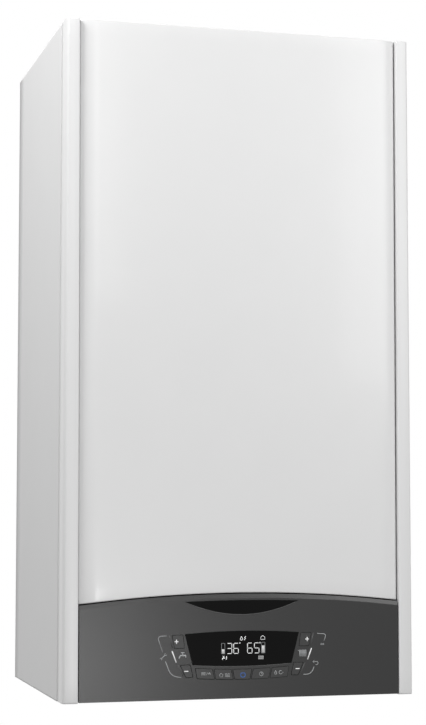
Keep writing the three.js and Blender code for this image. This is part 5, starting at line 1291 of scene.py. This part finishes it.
# ---------------------------------------------------------------- gas and water
@dataclass
class Waterways:
    """Gas line, brass groups, pump, plate exchanger, trap, vessel and the fittings under the casing."""

    body: str = "chassis"
    pipes_y: float = -120.0

    def gas_line(self) -> list[bpy.types.Object]:
        """Adds the gas valve's coils, pressure taps, adjusting cap, and the nuts of its two pipes."""
        coils = [(-130.0, -246.7, 412.0), (-130.0, -246.7, 448.0)]
        cap = [(0, -1.2), (4.2, -1.2), (4.8, -0.4), (4.8, 0.2), (0, 0.2)]
        coil = [(13.2, 0.5), (15.6, 1.0), (15.6, 22.0), (13.2, 22.5)]
        taps = [(-112.0, -222.7, 430.0), (-148.0, -222.7, 430.0)]
        tap = [(0, -6), (2.2, -6), (2.8, -4.4), (4.2, -4.2), (4.2, 0), (0, 0)]
        nuts = [(-130.0, -190.7, 374.0), (-130.0, -190.7, 474.6)]
        return [
            repeated("gas_valve_coils", coil, coils, "Y", BLACK_ACETAL, self.body, 36, closed=True),
            repeated("gas_valve_coil_caps", cap, coils, "Y", ZINC_SCREW, self.body, 24),
            repeated("gas_valve_taps", tap, taps, "Y", FORGED_BRASS, self.body, 16),
            repeated("gas_pipe_nuts", hexagon(27, 11, 9.1), nuts, "Z", FORGED_BRASS, self.body, 6, closed=True),
            box_piece("gas_valve_plug", (-119, -214, 450), (-98.5, -176, 466), 1.6, WHITE_NYLON, self.body),
        ]

    def unions(self) -> list[bpy.types.Object]:
        """Adds the tails' threads, the union nuts of the inner pipes and the spring clips."""
        big, small = thread(13.5, -9.0, 2.5), thread(10.8, -9.0, 2.5, 1.6)
        large = [(-120.0, self.pipes_y, 0.0), (0.0, self.pipes_y, 0.0), (120.0, self.pipes_y, 0.0)]
        little = [(-60.0, self.pipes_y, 0.0), (60.0, self.pipes_y, 0.0)]
        nut = hexagon(15, 8, 5.1)
        clip = [(11.2, 0), (12.6, 0), (12.6, 2.2), (11.2, 2.2)]
        return [
            repeated("large_tail_threads", big, large, "Z", FORGED_BRASS, self.body, 48, closed=True),
            repeated("small_tail_threads", small, little, "Z", FORGED_BRASS, self.body, 48, closed=True),
            repeated("vessel_pipe_nuts", nut, VESSEL_NUTS, "Z", FORGED_BRASS, self.body, 6, closed=True),
            repeated("filling_spindle_clip", clip, [(89.0, -139.0, 19.0)], "Z", STAINLESS, self.body, 32, closed=True),
        ]

    def plates(self) -> bpy.types.Object:
        """Stands in for the plate exchanger with its brazed stack: the rounded outline draws in at every joint.

        Along y the outline's inset is depth * (1 + cos(2 pi n t)) / 2, with n plates over the stack.
        """
        low, high = [np.array(corner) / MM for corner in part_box("plate_exchanger")]
        z0, z1 = low[2] + HANG_HEIGHT, high[2] + HANG_HEIGHT
        count, depth, corner = 18, 1.6, 16.0
        t = np.linspace(0.0, 1.0, count * 6 + 1)
        inset = depth * (1.0 + np.cos(2.0 * math.pi * count * t)) / 2.0
        turn = np.radians(np.concatenate([np.linspace(q, q + 90.0, 7) for q in (0.0, 90.0, 180.0, 270.0)]))
        signs = np.repeat([(1, 1), (-1, 1), (-1, -1), (1, -1)], 7, axis=0)
        half = np.array([(high[0] - low[0]) / 2.0, (z1 - z0) / 2.0])
        radius = corner - inset[:, None, None]
        flat = signs * (half - corner) + radius * np.stack([np.cos(turn), np.sin(turn)], axis=-1)
        centre = np.array([(low[0] + high[0]) / 2.0, (z0 + z1) / 2.0])
        flat = flat + centre
        y = low[1] + t * (high[1] - low[1])
        points = np.stack([flat[..., 0], np.broadcast_to(y[:, None], flat.shape[:2]), flat[..., 1]], axis=-1)
        hub = [np.broadcast_to([centre[0], end, centre[1]], (1, 28, 3)) for end in (y[0], y[-1])]
        points = np.concatenate([hub[0], points, hub[1]])
        faces = grid_faces(len(points), 28, wrap_columns=True)
        piece = make_piece("plate_stack", points, faces, STAINLESS, self.body)
        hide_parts("plate_exchanger")
        return piece

    def pump(self) -> list[bpy.types.Object]:
        """Adds the pump's flange screws, end screw and its ring, and the motor's cooling ribs."""
        low, high = [np.array(corner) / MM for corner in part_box("pump_motor")]
        front, mid_x = low[1], (low[0] + high[0]) / 2.0
        mid_z = low[2] + HANG_HEIGHT + (high[0] - low[0]) / 2.0
        screws = ring_at((mid_x, -153.0, mid_z), 34.0, (45, 135, 225, 315))
        plug = [(0, -2.2), (2, -2.2), (2, -3.4), (7.4, -3.4), (8.4, -2.6), (8.4, 0.4), (0, 0.4)]
        ring = [(17, 0.4), (26, 0.4), (26, -0.5), (25, -1), (18, -1), (17, -0.5)]
        fins = cooling_ribs(37.6, 38.7, 1.0, 3.6, 9, (0.6, 1.6, 2.2))
        band = [(36.5, 0.0), *fins, (36.5, 33.5)]
        head = [(0, 0), (4.2, 0), (4.2, -5), (3.2, -5), (3.2, -3), (0, -3)]
        end, ribs = (mid_x, front, mid_z), (mid_x, front + 6.0, mid_z)
        return [
            repeated("pump_screws", head, screws, "Y", ZINC_SCREW, self.body),
            repeated("pump_end_screw", plug, [end], "Y", FORGED_BRASS, self.body, 32),
            repeated("pump_end_ring", ring, [end], "Y", GREY_POLYPROPYLENE, self.body, 56, closed=True),
            repeated("pump_motor_ribs", band, [ribs], "Y", MOTOR_PAINT, self.body, 72, closed=True),
        ]

    def trap_and_vessel(self) -> list[bpy.types.Object]:
        """Adds the trap's bayonet rings and the vessel's charging valve."""
        rings = [(24.2, 0), (26.0, 0.4), (26.0, 4.2), (24.2, 4.6)]
        places = [(25.0, -150.0, 62.0), (25.0, -150.0, 70.0)]
        valve = [(0, -9), (3.6, -9), (4.2, -8.4), (4.2, -1), (6.5, -1), (6.5, 0.5), (0, 0.5)]
        return [
            repeated("trap_rings", rings, places, "Z", BLACK_ACETAL, self.body, 48, closed=True),
            repeated("vessel_charging_valve", valve, [(-118.0, -57.4, 610.0)], "Y", FORGED_BRASS, self.body, 24),
        ]

    def gauge(self) -> list[bpy.types.Object]:
        """Prints the gauge's dial: a scale from 0 to 4 over 270 degrees, and its red field."""
        centre = np.array([-25.0, -205.0])
        level = -2.15
        dial = Dial(centre, level)
        disc = [(0, 0.25), (17.6, 0.25), (17.6, 0), (0, 0)]
        face = repeated("gauge_dial", disc, [(*centre, level)], "Z", DIAL_WHITE, self.body, 64)
        return [face, *dial.build(self.body)]

    def build(self) -> list[bpy.types.Object]:
        """Dresses the nodes and builds the details."""
        dress(GREY_POLYPROPYLENE, "condensate_trap", "pump_impeller")
        dress(DARK_NYLON, "cable_gland", "diverter_actuator", "pump_body")
        dress(RED_ENAMEL, "expansion_vessel")
        dress(STAINLESS, "diverter_stem", "plate_exchanger")
        dress(MOTOR_PAINT, "pump_motor")
        dress(CHROMATE_STEEL, "gas_pipe", "gas_pipe_upper")
        dress(COPPER_TUBE, "flow_pipe", "return_pipe", "vessel_pipe")
        dress(RED_ACETAL, "safety_valve_knob", "gauge_needle")
        dress(BLACK_ACETAL, "filling_knob", "pressure_gauge")
        dress(CLEAR_ACRYLIC, "gauge_lens")
        dress(FORGED_BRASS, "safety_valve")
        pieces = [
            softened("flow_group", FORGED_BRASS, 1.0, self.body),
            softened("return_group", FORGED_BRASS, 1.0, self.body),
            softened("gas_valve", CAST_ALUMINIUM, 1.4, self.body),
            self.plates(),
        ]
        return pieces + self.gas_line() + self.unions() + self.pump() + self.trap_and_vessel() + self.gauge()


VESSEL_NUTS = [(125.0, -29.8, 306.0)]


@dataclass
class Dial:
    """Prints on the gauge's dial, which faces down."""

    centre: Array
    level: float

    def mark(self, lines: Sequence[Array], width: float, name: str, finish: Finish, body: str) -> bpy.types.Object:
        """Makes strips of ink on the dial from lines of (x, y): each goes half its width to both sides."""
        points, faces, count = [], [], 0
        for line in lines:
            line = np.asarray(line, float)
            run = np.gradient(line, axis=0)
            run /= np.maximum(np.linalg.norm(run, axis=1, keepdims=True), 1e-9)
            side = np.stack([-run[:, 1], run[:, 0]], axis=-1) * width / 2.0
            for shift, down in ((side, -0.08), (-side, -0.08), (-side, 0.0), (side, 0.0)):
                flat = line + shift + self.centre
                points.append(np.column_stack([flat, np.full(len(flat), self.level + down)]))
            faces.append(grid_faces(4, len(line), wrap_rows=True) + count)
            ends = np.arange(4) * len(line) + count
            faces.append(np.stack([ends, ends[::-1] + len(line) - 1]))
            count += 4 * len(line)
        return make_piece(name, np.concatenate(points), np.concatenate(faces), finish, body)

    def build(self, body: str) -> list[bpy.types.Object]:
        """Prints ticks and the red field."""
        angle = np.radians(np.linspace(-135.0, 135.0, 41) + 180.0)
        ring = np.stack([np.cos(angle), np.sin(angle)], axis=-1)
        ticks = [np.stack([ray * (14.0 if i % 10 == 0 else 15.2), ray * 16.8]) for i, ray in enumerate(ring)]
        sweep = np.radians(np.linspace(67.5, 135.0, 16) + 180.0)
        red = [np.stack([np.cos(sweep), np.sin(sweep)], axis=-1) * 12.9]
        return [
            self.mark(ticks, 0.35, "gauge_ticks", BLACK_INK, body),
            self.mark(red, 1.2, "gauge_red_field", RED_ACETAL, body),
        ]


# ---------------------------------------------------------------- behind the door
@dataclass
class DoorLining:
    """Foam mat and seal on the door's inner side."""

    body: str = "front_casing"

    def mat(self) -> bpy.types.Object:
        """Lays the foam mat: a grid over the door's inner face whose surface swells by small smooth waves.

        The surface lies at y = front + thickness + 0.5 sin(x / 9) sin(z / 11), drawn to the sheet along its rim.
        """
        u, v = np.meshgrid(np.linspace(-1.0, 1.0, 61), np.linspace(0.0, 1.0, 81))
        x = u * 150.0
        z = 138.0 + v * 560.0
        rim = np.minimum(1.0 - np.abs(u), np.minimum(v, 1.0 - v) * 2.0)
        height = 8.0 * np.clip(rim * 26.0, 0.0, 1.0) ** 0.5
        y = -316.1 + height + 0.35 * np.sin(x / 9.0) * np.sin(z / 11.0) * (height > 7.9)
        top = np.stack([x, y, z], axis=-1)
        back = np.stack([x, np.full_like(x, -316.2), z], axis=-1)
        points = np.stack([top, back])
        rows, columns = u.shape
        faces = grid_faces(rows, columns)
        all_faces = np.concatenate([faces, faces[:, ::-1] + rows * columns])
        edge = np.concatenate(
            [
                np.arange(columns),
                np.arange(1, rows) * columns + columns - 1,
                (rows - 1) * columns + np.arange(columns - 2, -1, -1),
                np.arange(rows - 2, 0, -1) * columns,
            ]
        )
        follow = np.roll(edge, -1)
        sides = np.stack([edge, edge + rows * columns, follow + rows * columns, follow], axis=-1)
        return make_piece("door_foam_mat", points, np.concatenate([all_faces, sides]), GREY_FOAM, self.body)

    def seal(self) -> bpy.types.Object:
        """Runs the EPDM strip round the chamber: a D section carried along a rounded rectangle."""
        corner = np.radians(np.concatenate([np.linspace(q, q + 90.0, 8) for q in (0.0, 90.0, 180.0, 270.0)]))
        signs = np.repeat([(1, 1), (-1, 1), (-1, -1), (1, -1)], 8, axis=0)
        line = signs * (156.0, 274.0) + 10.0 * np.stack([np.cos(corner), np.sin(corner)], axis=-1) + (0.0, 418.0)
        out = np.stack([np.cos(corner), np.sin(corner)], axis=-1)
        section = np.array([(-4, 0), (-3.6, 4), (-2, 6.5), (0, 7.2), (2, 6.5), (3.6, 4), (4, 0)])
        flat = line[:, None, :] + out[:, None, :] * section[None, :, :1]
        y = np.broadcast_to(-316.1 + section[None, :, 1], flat.shape[:2])
        points = np.stack([flat[..., 0], y, flat[..., 1]], axis=-1)
        faces = grid_faces(len(line), 7, wrap_rows=True, wrap_columns=True)
        return make_piece("door_seal_strip", points, faces, EPDM_RUBBER, self.body)

    def build(self) -> list[bpy.types.Object]:
        """Builds mat and seal."""
        return [self.mat(), self.seal()]


# ---------------------------------------------------------------- studio
@dataclass(frozen=True)
class Lamp:
    """One soft box: its middle and the point it faces in metres, its width and height, and its power."""

    name: str
    place: tuple[float, float, float]
    aim: tuple[float, float, float]
    size: tuple[float, float]
    watts: float


LAMPS = (
    Lamp("key box", (0.06, -2.65, 0.6), (0.06, 0.0, 0.6), (0.64, 1.2), 8.0),
    Lamp("low box", (0.15, -2.65, -0.88), (0.15, 0.0, -0.88), (0.36, 0.36), 5.4),
    Lamp("right box", (1.5, -2.4, 0.65), (1.5, 0.0, 0.65), (1.3, 1.7), 30.0),
    Lamp("left box", (-1.0, -0.6, 0.8), (-0.2, -0.15, -0.2), (0.6, 0.6), 16.7),
    Lamp("top box", (0.0, -1.1, 1.6), (0.0, -0.3, 0.0), (1.6, 1.0), 2.5),
)


@dataclass
class Studio:
    """Plain pale floor, soft lamps and the photograph's camera."""

    camera_place: tuple[float, float, float] = (-0.5516, -2.2164, -0.4873)
    camera_turn: tuple[float, float, float] = (94.521, 0.0, -15.267)
    lens: float = 88.78
    floor_level: float = -1.9
    floor_radius: float = 3.0
    floor_lift: float = 0.42
    ambient: float = 0.286

    def camera(self) -> None:
        """Puts the camera where the photograph was taken from, with its focal length in 36 mm on the long side."""
        data = bpy.data.cameras.new("camera")
        data.lens = self.lens
        data.sensor_width = 36.0
        view = bpy.data.objects.new("camera", data)
        view.location = self.camera_place
        view.rotation_euler = [math.radians(angle) for angle in self.camera_turn]
        bpy.context.scene.collection.objects.link(view)
        bpy.context.scene.camera = view

    def hang(self, lamp: "Lamp") -> None:
        """Hangs one soft box."""
        data = bpy.data.lights.new(lamp.name, "AREA")
        data.shape = "RECTANGLE"
        data.size, data.size_y = lamp.size
        data.energy = lamp.watts
        box = bpy.data.objects.new(lamp.name, data)
        box.location = lamp.place
        box.rotation_euler = (Vector(lamp.aim) - Vector(lamp.place)).to_track_quat("-Z", "Y").to_euler()
        box.visible_camera = False
        bpy.context.scene.collection.objects.link(box)

    def world(self) -> None:
        """White towards camera, gloss and glass, and a dimmer even light for everything else."""
        world = bpy.data.worlds.new("studio")
        bpy.context.scene.world = world
        world.use_nodes = True
        tree = world.node_tree
        tree.nodes.clear()
        path = put(tree, "ShaderNodeLightPath")
        seen = put(
            tree,
            "ShaderNodeMath",
            {0: path.outputs["Is Camera Ray"], 1: path.outputs["Is Transmission Ray"]},
            operation="MAXIMUM",
        )
        shown = put(
            tree, "ShaderNodeMath", {0: seen.outputs[0], 1: path.outputs["Is Glossy Ray"]}, operation="MAXIMUM"
        )
        strength = put(tree, "ShaderNodeMapRange", {"Value": shown.outputs[0], "To Min": self.ambient, "To Max": 1.0})
        light = put(tree, "ShaderNodeBackground", {"Color": (1, 1, 1, 1), "Strength": strength.outputs[0]})
        put(tree, "ShaderNodeOutputWorld", {"Surface": light.outputs[0]})

    def floor(self) -> None:
        """Lays a round pale floor that fades out towards its edge, r being the distance from its middle."""
        turn = np.linspace(0.0, 2.0 * math.pi, 96, endpoint=False)
        reach = np.array([0.0, 0.5, 0.8, 1.0])[:, None] * self.floor_radius
        x, y = reach * np.cos(turn), reach * np.sin(turn)
        points = np.stack([x, y, np.full_like(x, self.floor_level)], axis=-1)
        mesh = bpy.data.meshes.new("floor")
        faces = grid_faces(4, 96, wrap_columns=True)
        mesh.from_pydata(points.reshape(-1, 3).tolist(), [], faces.tolist())
        material = bpy.data.materials.new("pale studio floor")
        material.use_nodes = True
        tree = material.node_tree
        tree.nodes.clear()
        place = put(tree, "ShaderNodeTexCoord").outputs["Object"]
        flat = put(tree, "ShaderNodeVectorMath", {0: place, 1: (1, 1, 0)}, operation="MULTIPLY")
        radius = put(tree, "ShaderNodeVectorMath", {0: flat.outputs[0]}, operation="LENGTH")
        fade = put(
            tree,
            "ShaderNodeMapRange",
            {"Value": radius.outputs["Value"], "From Min": 1.2, "From Max": self.floor_radius * 0.98},
            interpolation_type="SMOOTHSTEP",
        )
        pale = put(tree, "ShaderNodeBsdfDiffuse", {"Color": linear("f2f2f2")})
        clear = put(tree, "ShaderNodeBsdfTransparent")
        seen = put(tree, "ShaderNodeLightPath").outputs["Is Camera Ray"]
        lift = put(tree, "ShaderNodeMath", {0: seen, 1: self.floor_lift}, operation="MULTIPLY")
        glow = put(tree, "ShaderNodeEmission", {"Color": (1, 1, 1, 1), "Strength": lift.outputs[0]})
        lit = put(tree, "ShaderNodeAddShader", {0: pale.outputs[0], 1: glow.outputs[0]})
        below = put(tree, "ShaderNodeNewGeometry").outputs["Backfacing"]
        gone = put(tree, "ShaderNodeMath", {0: fade.outputs[0], 1: below}, operation="MAXIMUM")
        mixed = put(tree, "ShaderNodeMixShader", {0: gone.outputs[0], 1: lit.outputs[0], 2: clear.outputs[0]})
        put(tree, "ShaderNodeOutputMaterial", {"Surface": mixed.outputs[0]})
        mesh.materials.append(material)
        floor = bpy.data.objects.new("floor", mesh)
        bpy.context.scene.collection.objects.link(floor)

    def build(self) -> None:
        """Sets up camera, world, floor and lamps."""
        self.camera()
        bpy.context.scene.view_settings.view_transform = "Standard"
        self.world()
        self.floor()
        for lamp in LAMPS:
            self.hang(lamp)


def main() -> None:
    """Builds the studio and every sub-assembly, and reports each piece."""
    logging.basicConfig(level=logging.INFO, format="%(message)s")
    studio = Studio()
    studio.build()
    for group in (Casing(), FrontCasing(), ControlPanel(), HeatCell(), Waterways(), DoorLining()):
        for piece in group.build():
            LOG.info("%s: %s", type(group).__name__, piece.name)


if __name__ == "__main__":
    main()
